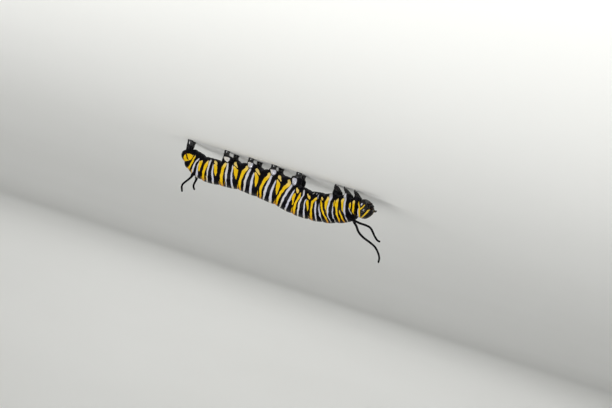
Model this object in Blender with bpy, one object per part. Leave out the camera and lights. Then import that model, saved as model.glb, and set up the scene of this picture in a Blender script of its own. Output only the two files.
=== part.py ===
"""Monarch larva, fifth instar, standing with its head towards -X, its back up and its left side at -Y.

Each body segment, leg, proleg, filament and mouthpart is one closed solid. Sizes below are in
millimetres and are turned to metres where a mesh is made. Along the body, "station" is the distance
forward of the anal feet, and "turn" counts the segments: 0 at the tail end, 1 at the front of the last
segment, and 13 at the neck.
"""

import math

import bmesh
import bpy
from mathutils import Matrix, Vector
from mathutils.bvhtree import BVHTree

MM = 0.001
UP = Vector((0.0, 0.0, 1.0))

# Where station 0 lies, so that the origin is under the middle of the whole animal.
STATION_ZERO_X = 22.0
SHIFT_Y = 2.468

# The gap that parts one solid from the next.
CUT = 0.12

# Segments from the tail to the neck.
SEGMENTS = [f"abdomen_{number}" for number in range(10, 0, -1)] + ["metathorax", "mesothorax", "prothorax"]

# The rings between segments, from the tail end to the neck. Each is one slice of the trunk: the station
# and height of its lowest point, those of its top, its half width, and its shift towards the right side.
# The last segment's slices shrink to nothing at the tail end.
RINGS = [
    ((-2.03, 2.20), (-2.34, 3.78), 1.30, 0.00),
    ((0.03, 1.66), (-1.12, 4.64), 1.60, 0.00),
    ((0.98, 1.67), (0.08, 5.92), 1.95, 0.00),
    ((3.34, 2.27), (3.66, 7.25), 2.45, 0.00),
    ((6.70, 2.16), (7.64, 7.21), 2.60, 0.00),
    ((11.06, 1.28), (11.79, 6.94), 2.68, 0.00),
    ((15.99, 1.23), (16.10, 7.24), 2.74, 0.00),
    ((20.79, 1.22), (20.39, 7.67), 2.80, 0.00),
    ((24.96, 2.31), (24.40, 8.40), 2.88, 0.00),
    ((27.30, 2.71), (28.24, 8.50), 2.92, 0.00),
    ((30.29, 2.39), (31.23, 8.20), 2.86, 0.00),
    ((33.28, 1.77), (34.00, 7.57), 2.68, -0.06),
    ((35.76, 1.68), (37.18, 6.23), 2.25, -0.20),
    ((37.90, 1.82), (37.96, 5.02), 1.66, -0.36),
]

# The trunk's slices are rounded, a little flatter below than above.
ROUND_ABOVE = 2.1
ROUND_BELOW = 2.5
# Each segment swells between its two folds.
SWELL = 0.10
FOLD = 0.10
FOLD_LENGTH = 0.10
TRUNK_SIDES = 28
SEGMENT_SLICES = (0.0, 0.1, 0.36, 0.64, 0.9, 1.0)
TAIL_SLICES = (0.004, 0.05, 0.16, 0.36, 0.65, 0.9, 1.0)
TAIL_ROUNDNESS = 2.6

# Prolegs of abdominal segments 3 to 6: the left foot's station, how far the swollen base lies ahead of it,
# and how much further forward the right foot stands. The right base follows its foot part of the way.
PROLEG_FEET = {6: (7.63, 0.65, 1.10), 5: (13.10, 0.57, 0.95), 4: (18.23, 0.31, 0.70), 3: (23.85, -0.15, 0.00)}
RIGHT_SEAT_SHARE = 0.6
PROLEG_FOOT_Y = 1.68
PROLEG_SEAT_Y = 1.55
# Its slices from the trunk down: height, share of the base's lead, half length and half width.
PROLEG_SLICES = [
    (None, 1.00, 1.25, 0.72),
    (1.16, 0.95, 1.18, 0.72),
    (0.98, 0.60, 0.98, 0.70),
    (0.82, 0.10, 0.68, 0.62),
    (0.45, 0.00, 0.60, 0.56),
    (0.14, 0.00, 0.66, 0.62),
    (0.00, 0.00, 0.59, 0.56),
]
PROLEG_SIDES = 12
ANAL_FOOT = (-1.00, 0.05)
ANAL_SLICES = [
    (None, 1.00, 0.56, 0.46),
    (1.20, 0.80, 0.60, 0.52),
    (0.85, 0.45, 0.58, 0.54),
    (0.45, 0.10, 0.54, 0.52),
    (0.14, 0.00, 0.62, 0.60),
    (0.00, 0.00, 0.55, 0.53),
]
ANAL_FOOT_Y = 1.05
ANAL_SEAT_Y = 0.72

# Thoracic legs: the turn they stand at, the stations of the seat and of the claw, and each one's girth.
LEGS = {3: (10.40, 32.47, 31.76, 1.0), 2: (11.35, 34.95, 33.68, 0.95), 1: (12.30, 36.98, 36.02, 0.8)}
LEG_SEAT_Y = 1.20
LEG_FOOT_Y = 0.95
LEG_SLICES = [
    (None, 1.00, 0.78, 0.58),
    (1.20, 0.95, 0.74, 0.56),
    (0.85, 0.62, 0.58, 0.47),
    (0.45, 0.30, 0.42, 0.37),
    (0.15, 0.05, 0.30, 0.28),
    (0.00, 0.00, 0.26, 0.25),
]
LEG_SIDES = 10

# A limb's seat reaches into the trunk's hollow in two rings, shares of its own size.
SEAT_SHARES = (0.5, 1.0)
SEAT_RAY = 3.0

# Filaments grow from the side of the back: the turn they stand on, and the angle down from the midline.
FRONT_FILAMENT_TURN = 11.84
REAR_FILAMENT_TURN = 2.60
FRONT_FILAMENT_ANGLE = math.radians(52.0)
REAR_FILAMENT_ANGLE = math.radians(32.0)
FILAMENT_SIDES = 8
TUBERCLE_HEIGHT = 0.38
TUBERCLE_LIFT = 0.04
# Each is thickest at its tubercle and thins over its first steps to an even cord.
FILAMENT_THINNING = 0.18
FRONT_LENGTHS = 2
FRONT_STEPS = 18
REAR_LENGTHS = 1
REAR_STEPS = 11
FRONT_RADII = (0.42, 0.26)
REAR_RADII = (0.40, 0.25)
# Their courses after the tubercle: station, distance to the right of the midline, and height.
FRONT_LEFT_COURSE = [
    (37.25, -2.95, 6.2),
    (38.7, -3.6, 6.31),
    (40.11, -4.4, 6.53),
    (41.65, -5.3, 6.64),
    (42.97, -6.1, 7.01),
    (44.4, -6.9, 8.3),
    (45.34, -7.4, 9),
    (46.13, -7.7, 9.16),
]
FRONT_RIGHT_COURSE = [
    (37.25, 2.1, 6.25),
    (37.85, 1.95, 6.75),
    (38.75, 2.1, 7.85),
    (40.09, 2.1, 8.62),
    (41.53, 2.1, 9.12),
    (42.89, 2, 9.7),
    (43.92, 2, 10.64),
    (44.55, 2, 11.63),
    (44.68, 2, 12.72),
]
REAR_LEFT_COURSE = [
    (1.98, -1.8, 7.34),
    (1.79, -2.0, 7.82),
    (1.4, -2.25, 8.53),
    (0.98, -2.5, 9.3),
    (0.97, -2.72, 9.92),
    (1.21, -2.82, 10.5),
    (1.48, -2.85, 11.05),
]
REAR_RIGHT_COURSE = [
    (1.98, 1.75, 7.3),
    (1.83, 1.9, 7.95),
    (1.7, 2.08, 8.55),
    (1.8, 2.3, 9.06),
    (2.11, 2.55, 9.52),
]

# The head: a capsule leaning its mouth forward and turned to the left, cut flat at the neck and above the
# mouthparts.
HEAD_LEAN = math.radians(45.0)
HEAD_TURN = math.radians(17.3)
HEAD_AHEAD_OF_NECK = 1.30
HEAD_HEIGHT = 3.24
HEAD_HALF_DEPTH = 1.72
HEAD_HALF_WIDTH = 1.80
HEAD_HALF_LENGTH = 2.05
HEAD_ROUND_FACE = 2.1
HEAD_ROUND_BACK = 3.0
CROWN_CLEFT = 0.14
CROWN_CLEFT_WIDTH = 0.35
MOUTH_PLANE = 1.42
HEAD_RINGS = 12
HEAD_SIDES = 24

# Mouthparts below the mouth plane, in the head's axes: how far towards the face and to the left their
# middles lie, how far below the plane, and their depth, width, height and narrowing.
LABRUM = (0.72, 0.00, 0.17, (0.34, 1.20, 0.34), 0.85)
MANDIBLE = (0.28, 0.40, 0.24, (0.50, 0.60, 0.48), 0.70)
LABIUM = (-0.42, 0.00, 0.22, (0.62, 1.10, 0.44), 0.45)
BLOCK_SIDES = 10
BLOCK_ROWS = 3
BLOCK_SQUARENESS = 0.7

# Antennae, low on either side of the face: where they stand, their joints' heights and their radii.
ANTENNA_DOWN = math.radians(130.0)
ANTENNA_ROUND = math.radians(46.0)
ANTENNA_DROOP = Vector((-0.8, 0.0, -1.0))
ANTENNA_JOINTS = (0.15, 0.26, 0.40, 0.56)
ANTENNA_RADII = (0.27, 0.26, 0.25, 0.22)

# Six stemmata on each cheek: along the patch and across it, in shares of its length and width.
STEMMATA = [(0.14, 0.30), (0.26, 0.66), (0.46, 0.84), (0.68, 0.70), (0.86, 0.38), (0.54, 0.18)]
STEMMA_RADIUS = 0.12
PATCH_DOWN = (math.radians(91), math.radians(118))
PATCH_ROUND = (math.radians(50), math.radians(76))
PATCH_CUT = 0.06
PATCH_THICKNESS = 0.04
PATCH_COLUMNS = 11
PATCH_ROWS = 9

# A small angle or turn, for reading how a surface lies.
NUDGE = 0.02
SHARP_EDGE = math.radians(50.0)

BLACK = (0.012, 0.010, 0.016)
YELLOW = (0.72, 0.45, 0.03)
WHITE = (0.72, 0.72, 0.68)
HORN = (0.05, 0.03, 0.02)


def clear_scene():
    """Removes whatever the scene holds."""
    for item in list(bpy.data.objects):
        bpy.data.objects.remove(item, do_unlink=True)


def place(station, right, height):
    """The point in millimetres at a station, a distance right of the midline and a height."""
    return Vector((STATION_ZERO_X - station, right + SHIFT_Y, height))


def catmull_rom(values, position):
    """Reads a smooth curve through evenly spaced values, which it meets at whole positions."""
    last = len(values) - 1
    start = min(max(int(math.floor(position)), 0), last - 1)
    share = position - start
    before = values[max(start - 1, 0)]
    here = values[start]
    after = values[start + 1]
    beyond = values[min(start + 2, last)]
    return (
        here
        + (after - before) * (0.5 * share)
        + (before * 2.0 - here * 5.0 + after * 4.0 - beyond) * (0.5 * share**2)
        + (here * 3.0 - before - after * 3.0 + beyond) * (0.5 * share**3)
    )


def ring_number(turn, read):
    """One number of the rings, read at any turn."""
    return catmull_rom([read(ring) for ring in RINGS], turn)


def slice_frame(turn):
    """A slice's middle, the arrow up to its top, its direction left, its half width and its way forward."""
    low = Vector((ring_number(turn, lambda r: r[0][0]), ring_number(turn, lambda r: r[0][1])))
    top = Vector((ring_number(turn, lambda r: r[1][0]), ring_number(turn, lambda r: r[1][1])))
    right = ring_number(turn, lambda r: r[3])
    near, far = max(turn - NUDGE, 0.0), min(turn + NUDGE, len(RINGS) - 1.0)
    run = ring_number(far, lambda r: r[0][0] + r[1][0]) - ring_number(near, lambda r: r[0][0] + r[1][0])
    drift = ring_number(far, lambda r: r[3]) - ring_number(near, lambda r: r[3])
    forward = Vector((-run * 0.5, drift, 0.0)).normalized()
    left = UP.cross(forward)
    middle = place((low.x + top.x) / 2, right, (low.y + top.y) / 2)
    arrow = forward * ((top.x - low.x) / 2) + UP * ((top.y - low.y) / 2)
    return middle, arrow, left, ring_number(turn, lambda r: r[2]), forward


def swell(turn):
    """How far the skin stands out of the plain tube at a turn: out in mid segment, sunk at the folds."""
    share = turn - math.floor(turn)
    nearest = min(share, 1.0 - share)
    return SWELL * math.sin(math.pi * share) - FOLD * math.exp(-((nearest / FOLD_LENGTH) ** 2))


def trunk_point(turn, angle):
    """The trunk's surface at a turn and an angle, which runs from the back's midline down the left side."""
    middle, arrow, left, half_width, _ = slice_frame(turn)
    shrink = (1 - (1 - turn) ** TAIL_ROUNDNESS) ** (1 / TAIL_ROUNDNESS) if turn < 1 else 1.0
    power = ROUND_ABOVE if math.cos(angle) > 0 else ROUND_BELOW
    across = math.copysign(abs(math.sin(angle)) ** (2 / power), math.sin(angle))
    up = math.copysign(abs(math.cos(angle)) ** (2 / power), math.cos(angle))
    offset = arrow * up + left * (half_width * across)
    return middle + (offset + offset.normalized() * swell(turn)) * shrink


def trunk_slice(turn, sides=TRUNK_SIDES):
    """The points round one slice."""
    return [trunk_point(turn, 2 * math.pi * side / sides) for side in range(sides)]


def mesh_object(name, bm, colour, roughness=0.5):
    """Turns a mesh in millimetres to a smooth-shaded object in metres with its own material."""
    bmesh.ops.recalc_face_normals(bm, faces=bm.faces)
    bmesh.ops.transform(bm, matrix=Matrix.Scale(MM, 4), verts=bm.verts)
    mesh = bpy.data.meshes.new(name)
    bm.to_mesh(mesh)
    bm.free()
    mesh.shade_smooth()
    mesh.set_sharp_from_angle(angle=SHARP_EDGE)
    material = bpy.data.materials.new(name)
    material.use_nodes = True
    shader = material.node_tree.nodes["Principled BSDF"]
    shader.inputs["Base Color"].default_value = (*colour, 1.0)
    shader.inputs["Roughness"].default_value = roughness
    shader.inputs["Metallic"].default_value = 0.0
    mesh.materials.append(material)
    solid = bpy.data.objects.new(name, mesh)
    bpy.context.collection.objects.link(solid)
    return solid


def loft(rings):
    """A closed mesh through rings of equally many points, each end closed by a fan to its middle."""
    bm = bmesh.new()
    rows = [[bm.verts.new(point) for point in ring] for ring in rings]
    for lower, upper in zip(rows, rows[1:]):
        for here in range(len(lower)):
            there = (here + 1) % len(lower)
            bm.faces.new((lower[here], lower[there], upper[there], upper[here]))
    for row, ring in ((rows[0], rings[0]), (rows[-1], rings[-1])):
        hub = bm.verts.new(sum(ring, Vector()) / len(ring))
        for here in range(len(row)):
            bm.faces.new((row[here], row[(here + 1) % len(row)], hub))
    return bm


def segment_colour(index):
    """Plain colours that tell neighbouring segments apart."""
    return (BLACK, YELLOW, WHITE)[index % 3]


def make_trunk():
    """The thirteen trunk segments, parted by thin cuts at the folds."""
    for index, name in enumerate(SEGMENTS):
        length = (slice_frame(index + 1)[0] - slice_frame(index)[0]).length
        rear_cut = 0.0 if index == 0 else CUT / 2 / length
        front_cut = CUT / 2 / length
        shares = TAIL_SLICES if index == 0 else SEGMENT_SLICES
        turns = [index + rear_cut + share * (1 - rear_cut - front_cut) for share in shares]
        mesh_object(name, loft([trunk_slice(turn) for turn in turns]), segment_colour(index))


def uncut_trunk():
    """A tree of the faces of the trunk's skin without its cuts, in millimetres, for seating limbs on it."""
    sides = 2 * TRUNK_SIDES
    steps = 16 * len(SEGMENTS)
    points = []
    faces = []
    for step in range(steps + 1):
        points += trunk_slice(len(SEGMENTS) * step / steps, sides)
        if step == steps:
            break
        for side in range(sides):
            corner, neighbour = step * sides + side, step * sides + (side + 1) % sides
            faces.append((corner, neighbour, neighbour + sides, corner + sides))
    return BVHTree.FromPolygons(points, faces)


def seat(tree, point, direction):
    """Moves a point along a direction to the trunk's skin, and back out by the cut's width."""
    hit, normal, _, _ = tree.ray_cast(point - direction * SEAT_RAY, direction)
    if normal.dot(direction) > 0:
        normal.negate()
    return hit + normal * CUT


def make_limb(name, tree, slices, seat_at, foot_at, girth=1.0, sides=PROLEG_SIDES, colour=BLACK):
    """A leg: level slices from a seat on the trunk down to a flat foot on the floor.

    seat_at and foot_at hold a station and a distance right of the midline.
    """
    rings = []
    for height, lead, half_length, half_width in slices:
        station = foot_at[0] + (seat_at[0] - foot_at[0]) * lead
        right = foot_at[1] + (seat_at[1] - foot_at[1]) * lead
        middle = place(station, right, height or 0.0)
        spokes = [
            Vector((half_length * math.cos(turn), half_width * math.sin(turn), 0.0)) * girth
            for turn in (2 * math.pi * side / sides for side in range(sides))
        ]
        if height is None:
            rings += [[seat(tree, middle + spoke * share, UP) for spoke in spokes] for share in SEAT_SHARES]
        else:
            rings.append([middle + spoke for spoke in spokes])
    bm = loft(rings)
    bm.verts.ensure_lookup_table()
    seat_hub = min((v for v in bm.verts if len(v.link_edges) == sides), key=lambda v: -v.co.z)
    seat_hub.co = seat(tree, Vector((seat_hub.co.x, seat_hub.co.y, 0.0)), UP)
    return mesh_object(name, bm, colour, 0.25)


def make_prolegs(tree):
    """Four pairs of prolegs in mid body and the pair of anal ones."""
    for number, (station, lead, right_ahead) in PROLEG_FEET.items():
        for side, word, ahead in ((-1, "left", 0.0), (1, "right", right_ahead)):
            make_limb(
                f"proleg_{number}_{word}",
                tree,
                PROLEG_SLICES,
                (station + lead + RIGHT_SEAT_SHARE * ahead, side * PROLEG_SEAT_Y),
                (station + ahead, side * PROLEG_FOOT_Y),
            )
    station, lead = ANAL_FOOT
    for side, word in ((-1, "left"), (1, "right")):
        seat_at = (station + lead, side * ANAL_SEAT_Y)
        make_limb(f"anal_proleg_{word}", tree, ANAL_SLICES, seat_at, (station, side * ANAL_FOOT_Y))


def make_legs(tree):
    """Three pairs of thoracic legs."""
    for number, (turn, seat_station, foot_station, girth) in LEGS.items():
        middle = slice_frame(turn)[0].y - SHIFT_Y
        for side, word in ((-1, "left"), (1, "right")):
            make_limb(
                f"leg_{number}_{word}",
                tree,
                LEG_SLICES,
                (seat_station, middle + side * LEG_SEAT_Y),
                (foot_station, middle + side * LEG_FOOT_Y),
                girth,
                LEG_SIDES,
            )


def tube(points, radii, sides=FILAMENT_SIDES):
    """A closed tapering tube along points, whose rings keep their turn from one to the next."""
    rings = []
    across = None
    for index, point in enumerate(points):
        ahead = (points[min(index + 1, len(points) - 1)] - points[max(index - 1, 0)]).normalized()
        across = (across or ahead.orthogonal()) - ahead * ahead.dot(across or ahead.orthogonal())
        across.normalize()
        other = ahead.cross(across)
        angles = [2 * math.pi * side / sides for side in range(sides)]
        rings.append([point + (across * math.cos(a) + other * math.sin(a)) * radii[index] for a in angles])
    return loft(rings)


def filament_course(turn, angle, course, steps):
    """Evenly read points of a filament from its seat on the trunk, up its tubercle and along its course."""
    foot = trunk_point(turn, angle)
    along = trunk_point(turn + NUDGE, angle) - trunk_point(turn - NUDGE, angle)
    round_body = trunk_point(turn, angle + NUDGE) - trunk_point(turn, angle - NUDGE)
    out = along.cross(round_body).normalized()
    if out.dot(foot - slice_frame(turn)[0]) < 0:
        out.negate()
    knots = [foot + out * (CUT + TUBERCLE_LIFT), foot + out * (CUT + TUBERCLE_HEIGHT)]
    knots += [place(*point) for point in course]
    return [catmull_rom(knots, (len(knots) - 1) * step / steps) for step in range(steps + 1)]


def make_filament(name, turn, angle, course, radii, lengths, steps):
    """One filament with its tubercle, in one or more lengths."""
    points = filament_course(turn, angle, course, steps)
    first, rest = radii
    girths = [max(first * (1 - FILAMENT_THINNING * index), rest) for index in range(steps + 1)]
    per_length = steps // lengths
    for number in range(lengths):
        here = number * per_length
        span = points[here : here + per_length + 1]
        if number:
            span[0] = span[0] + (span[1] - span[0]).normalized() * CUT
        label = name if lengths == 1 else f"{name}_{number + 1}"
        mesh_object(label, tube(span, girths[here : here + per_length + 1]), BLACK, 0.35)


def make_filaments():
    """The long pair behind the head and the short pair before the tail."""
    for word, side, course in (("left", 1, FRONT_LEFT_COURSE), ("right", -1, FRONT_RIGHT_COURSE)):
        angle = side * FRONT_FILAMENT_ANGLE
        name = f"front_filament_{word}"
        make_filament(name, FRONT_FILAMENT_TURN, angle, course, FRONT_RADII, FRONT_LENGTHS, FRONT_STEPS)
    for word, side, course in (("left", 1, REAR_LEFT_COURSE), ("right", -1, REAR_RIGHT_COURSE)):
        angle = side * REAR_FILAMENT_ANGLE
        name = f"rear_filament_{word}"
        make_filament(name, REAR_FILAMENT_TURN, angle, course, REAR_RADII, REAR_LENGTHS, REAR_STEPS)


def head_frame():
    """The matrix from the head's own axes to the body's, in millimetres.

    The head's axes are its face's direction, its left side, and its crown.
    """
    neck, _, _, _, forward = slice_frame(len(RINGS) - 1)
    ahead = Matrix.Rotation(HEAD_TURN, 3, "Z") @ forward
    left = UP.cross(ahead)
    crown = (UP * math.cos(HEAD_LEAN) - ahead * math.sin(HEAD_LEAN)).normalized()
    face = left.cross(crown)
    middle = neck + forward * HEAD_AHEAD_OF_NECK
    middle.z = HEAD_HEIGHT
    frame = Matrix((face, left, crown)).transposed().to_4x4()
    frame.translation = middle
    return frame


def capsule_point(down, around):
    """A point of the head capsule: an angle down from the crown, and one round it from the face."""
    power = HEAD_ROUND_BACK if math.cos(around) < 0 else HEAD_ROUND_FACE
    wide = abs(math.sin(down)) ** (2 / HEAD_ROUND_FACE)
    point = Vector((
        HEAD_HALF_DEPTH * wide * math.copysign(abs(math.cos(around)) ** (2 / power), math.cos(around)),
        HEAD_HALF_WIDTH * wide * math.copysign(abs(math.sin(around)) ** (2 / power), math.sin(around)),
        HEAD_HALF_LENGTH * math.copysign(abs(math.cos(down)) ** (2 / HEAD_ROUND_FACE), math.cos(down)),
    ))
    cleft = CROWN_CLEFT * math.exp(-((point.y / CROWN_CLEFT_WIDTH) ** 2)) * max(math.cos(down), 0.0)
    return point - point.normalized() * cleft


def make_capsule():
    """The head capsule, flat at the neck and over the mouth."""
    sides = [2 * math.pi * side / HEAD_SIDES for side in range(HEAD_SIDES)]
    rings = [
        [capsule_point(math.pi * ring / HEAD_RINGS, around) for around in sides]
        for ring in range(1, HEAD_RINGS)
    ]
    bm = loft(rings)
    frame = head_frame()
    neck, _, _, _, forward = slice_frame(len(RINGS) - 1)
    inverse = frame.inverted()
    neck_point = inverse @ (neck + forward * CUT)
    neck_way = inverse.to_3x3() @ forward
    for point, way in ((neck_point, -neck_way), (Vector((0, 0, -MOUTH_PLANE)), Vector((0, 0, -1)))):
        cut = bmesh.ops.bisect_plane(
            bm, geom=bm.verts[:] + bm.edges[:] + bm.faces[:], plane_co=point, plane_no=way, clear_outer=True
        )
        rim = [item for item in cut["geom_cut"] if isinstance(item, bmesh.types.BMEdge)]
        bmesh.ops.contextual_create(bm, geom=rim)
    bmesh.ops.transform(bm, matrix=frame, verts=bm.verts)
    return mesh_object("head", bm, BLACK, 0.3)


def block(middle, size, taper):
    """A rounded block in the head's axes, as level slices; it narrows downwards to taper."""
    rings = []
    for row in range(BLOCK_ROWS + 1):
        share = row / BLOCK_ROWS
        grow = 1 - (1 - taper) * share**1.5
        ring = []
        for side in range(BLOCK_SIDES):
            turn = 2 * math.pi * side / BLOCK_SIDES
            across = math.copysign(abs(math.sin(turn)) ** BLOCK_SQUARENESS, math.sin(turn))
            ring.append(middle + Vector((
                size[0] / 2 * grow * math.cos(turn),
                size[1] / 2 * grow * across,
                size[2] * (0.5 - share),
            )))
        rings.append(ring)
    return loft(rings)


def make_mouthparts():
    """The upper lip, the two jaws, and the lower lip with the spinneret, below the capsule."""
    frame = head_frame()
    pieces = (
        ("labrum", LABRUM, 1, HORN),
        ("mandible_left", MANDIBLE, 1, BLACK),
        ("mandible_right", MANDIBLE, -1, BLACK),
        ("labium", LABIUM, 1, HORN),
    )
    for name, (towards_face, to_left, below, size, taper), side, colour in pieces:
        bm = block(Vector((towards_face, side * to_left, -MOUTH_PLANE - CUT - below)), size, taper)
        bmesh.ops.transform(bm, matrix=frame, verts=bm.verts)
        mesh_object(name, bm, colour, 0.3)


def capsule_seat(down, around):
    """A point of the capsule in the body's axes and the direction straight out of it there."""
    frame = head_frame()
    here = capsule_point(down, around)
    along = capsule_point(down + NUDGE, around) - capsule_point(down - NUDGE, around)
    sideways = capsule_point(down, around + NUDGE) - capsule_point(down, around - NUDGE)
    out = along.cross(sideways).normalized()
    if out.dot(here) < 0:
        out.negate()
    return frame @ here, frame.to_3x3() @ out


def make_antennae():
    """The short antennae, low on either side of the face."""
    for side, word in ((1, "left"), (-1, "right")):
        foot, out = capsule_seat(ANTENNA_DOWN, side * ANTENNA_ROUND)
        lean = (out + head_frame().to_3x3() @ ANTENNA_DROOP).normalized()
        first, bend, *rest = ANTENNA_JOINTS
        points = [foot + out * first, foot + out * bend]
        points += [foot + out * bend + lean * (reach - bend) for reach in rest]
        mesh_object(f"antenna_{word}", tube(points, ANTENNA_RADII), BLACK, 0.3)


def make_stemmata():
    """On each cheek, a thin patch of cuticle with six domed lenses."""
    columns, rows = PATCH_COLUMNS, PATCH_ROWS
    length = HEAD_HALF_WIDTH * (PATCH_DOWN[1] - PATCH_DOWN[0])
    width = HEAD_HALF_WIDTH * (PATCH_ROUND[1] - PATCH_ROUND[0])
    for side, word in ((1, "left"), (-1, "right")):
        bm = bmesh.new()
        sheets = []
        for upper in (False, True):
            sheet = []
            for column in range(columns + 1):
                line = []
                for row in range(rows + 1):
                    along, across = column / columns, row / rows
                    down = PATCH_DOWN[0] + (PATCH_DOWN[1] - PATCH_DOWN[0]) * along
                    around = PATCH_ROUND[0] + (PATCH_ROUND[1] - PATCH_ROUND[0]) * across
                    foot, out = capsule_seat(down, side * around)
                    lift = PATCH_CUT
                    if upper:
                        reach = min(
                            math.hypot((along - a) * length, (across - b) * width) for a, b in STEMMATA
                        )
                        lift += PATCH_THICKNESS + math.sqrt(max(STEMMA_RADIUS**2 - reach**2, 0.0))
                    line.append(bm.verts.new(foot + out * lift))
                sheet.append(line)
            sheets.append(sheet)
        for sheet in sheets:
            for column in range(columns):
                for row in range(rows):
                    corners = (sheet[column][row], sheet[column + 1][row])
                    corners += (sheet[column + 1][row + 1], sheet[column][row + 1])
                    bm.faces.new(corners)
        bottom, top = sheets
        rim = [(column, 0) for column in range(columns)]
        rim += [(columns, row) for row in range(rows)]
        rim += [(column, rows) for column in range(columns, 0, -1)]
        rim += [(0, row) for row in range(rows, 0, -1)]
        for here, there in zip(rim, rim[1:] + rim[:1]):
            ring = (bottom[here[0]][here[1]], bottom[there[0]][there[1]])
            bm.faces.new(ring + (top[there[0]][there[1]], top[here[0]][here[1]]))
        mesh_object(f"stemmata_{word}", bm, BLACK, 0.15)


def main():
    """Builds the whole larva."""
    clear_scene()
    make_trunk()
    tree = uncut_trunk()
    make_prolegs(tree)
    make_legs(tree)
    make_filaments()
    make_capsule()
    make_mouthparts()
    make_antennae()
    make_stemmata()


main()
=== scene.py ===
"""Monarch larva, fifth instar: the skin, head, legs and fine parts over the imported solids.

Shapes are worked out in millimetres in the solids' own frame, head towards -X, back up and left side at
-Y, and turned to metres where a mesh is made. Along the body, "turn" counts the segments from 0 at the tail
end to 13 at the neck, and "angle" runs from the back's midline down either side to the belly.
"""

import logging
import math
from collections.abc import Sequence
from dataclasses import dataclass, field
from enum import Enum
from typing import Any

import bpy
import numpy as np
from mathutils import Matrix, Vector
from mathutils.kdtree import KDTree


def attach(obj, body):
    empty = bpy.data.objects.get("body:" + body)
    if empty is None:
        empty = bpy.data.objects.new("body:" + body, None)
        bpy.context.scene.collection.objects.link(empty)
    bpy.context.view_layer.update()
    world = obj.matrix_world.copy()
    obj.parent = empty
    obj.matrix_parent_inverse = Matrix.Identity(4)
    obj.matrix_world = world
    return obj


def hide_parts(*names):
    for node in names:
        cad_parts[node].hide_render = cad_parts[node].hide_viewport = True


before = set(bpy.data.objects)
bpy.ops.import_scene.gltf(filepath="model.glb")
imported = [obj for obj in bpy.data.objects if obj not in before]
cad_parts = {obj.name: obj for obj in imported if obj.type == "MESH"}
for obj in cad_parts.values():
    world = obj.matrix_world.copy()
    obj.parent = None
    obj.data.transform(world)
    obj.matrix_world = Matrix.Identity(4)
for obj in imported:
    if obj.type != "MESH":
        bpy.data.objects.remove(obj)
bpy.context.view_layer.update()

Array = np.ndarray
Edges = tuple[tuple[float, float, float], ...]

log = logging.getLogger("larva")
MM = 0.001
TURNS = 13
RANDOM_SEED = 20


def smoothstep(low: float, high: float, value: Array) -> Array:
    """Rises smoothly from 0 at low to 1 at high."""
    share = np.clip((value - low) / (high - low), 0.0, 1.0)
    return share * share * (3.0 - 2.0 * share)


def signed_power(value: Array, power: float) -> Array:
    """A power of a number's size that keeps its sign."""
    return np.sign(value) * np.abs(value) ** power


def unit(vectors: Array) -> Array:
    """The vectors, each at length one."""
    return vectors / np.maximum(np.linalg.norm(vectors, axis=-1, keepdims=True), 1e-12)


def circle(sides: int) -> Array:
    """Angles in radians at even steps round a circle."""
    return np.arange(sides) * (2 * math.pi / sides)


def through(knots: Array, position: Array) -> Array:
    """Reads a smooth curve through evenly spaced knots.

    Args:
        knots: One row for each knot.
        position: Where to read, in knots; whole numbers are the knots themselves.

    Returns:
        One row for each position.
    """
    last = len(knots) - 1
    start = np.clip(np.floor(position).astype(int), 0, last - 1)
    share = (position - start)[..., None]
    before, here = knots[np.maximum(start - 1, 0)], knots[start]
    after, beyond = knots[start + 1], knots[np.minimum(start + 2, last)]
    return (
        here
        + (after - before) * (0.5 * share)
        + (before * 2.0 - here * 5.0 + after * 4.0 - beyond) * (0.5 * share**2)
        + (here * 3.0 - before - after * 3.0 + beyond) * (0.5 * share**3)
    )


def level_rings(middle: Array, half_sizes: Array, sides: int) -> Array:
    """Level ovals round the points of a middle line.

    Args:
        middle: The middle line's points.
        half_sizes: Each oval's half length and half width.
        sides: Points round each oval.

    Returns:
        An array of rings by points by three.
    """
    turns = circle(sides)
    spoke = np.stack([np.cos(turns), np.sin(turns), np.zeros(sides)], -1)
    size = np.stack([half_sizes[:, 0], half_sizes[:, 1], np.zeros(len(half_sizes))], -1)
    return middle[:, None] + spoke[None] * size[:, None]


def soft_noise(points: Array, size: float, seed: int) -> Array:
    """Smooth irregular values between about -1 and 1.

    Args:
        points: Places in millimetres.
        size: The size of one swing in millimetres.
        seed: Gives another pattern of the same kind.

    Returns:
        One value for each place.
    """
    chance = np.random.default_rng(RANDOM_SEED + seed)
    total = np.zeros(len(points))
    for _ in range(7):
        way = unit(chance.normal(size=3))
        waves = points @ way * (2 * math.pi / size) * chance.uniform(0.6, 1.5)
        total += np.sin(waves + chance.uniform(0, 6.28))
    return total / 3.2


# ---------------------------------------------------------------- meshes


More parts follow.
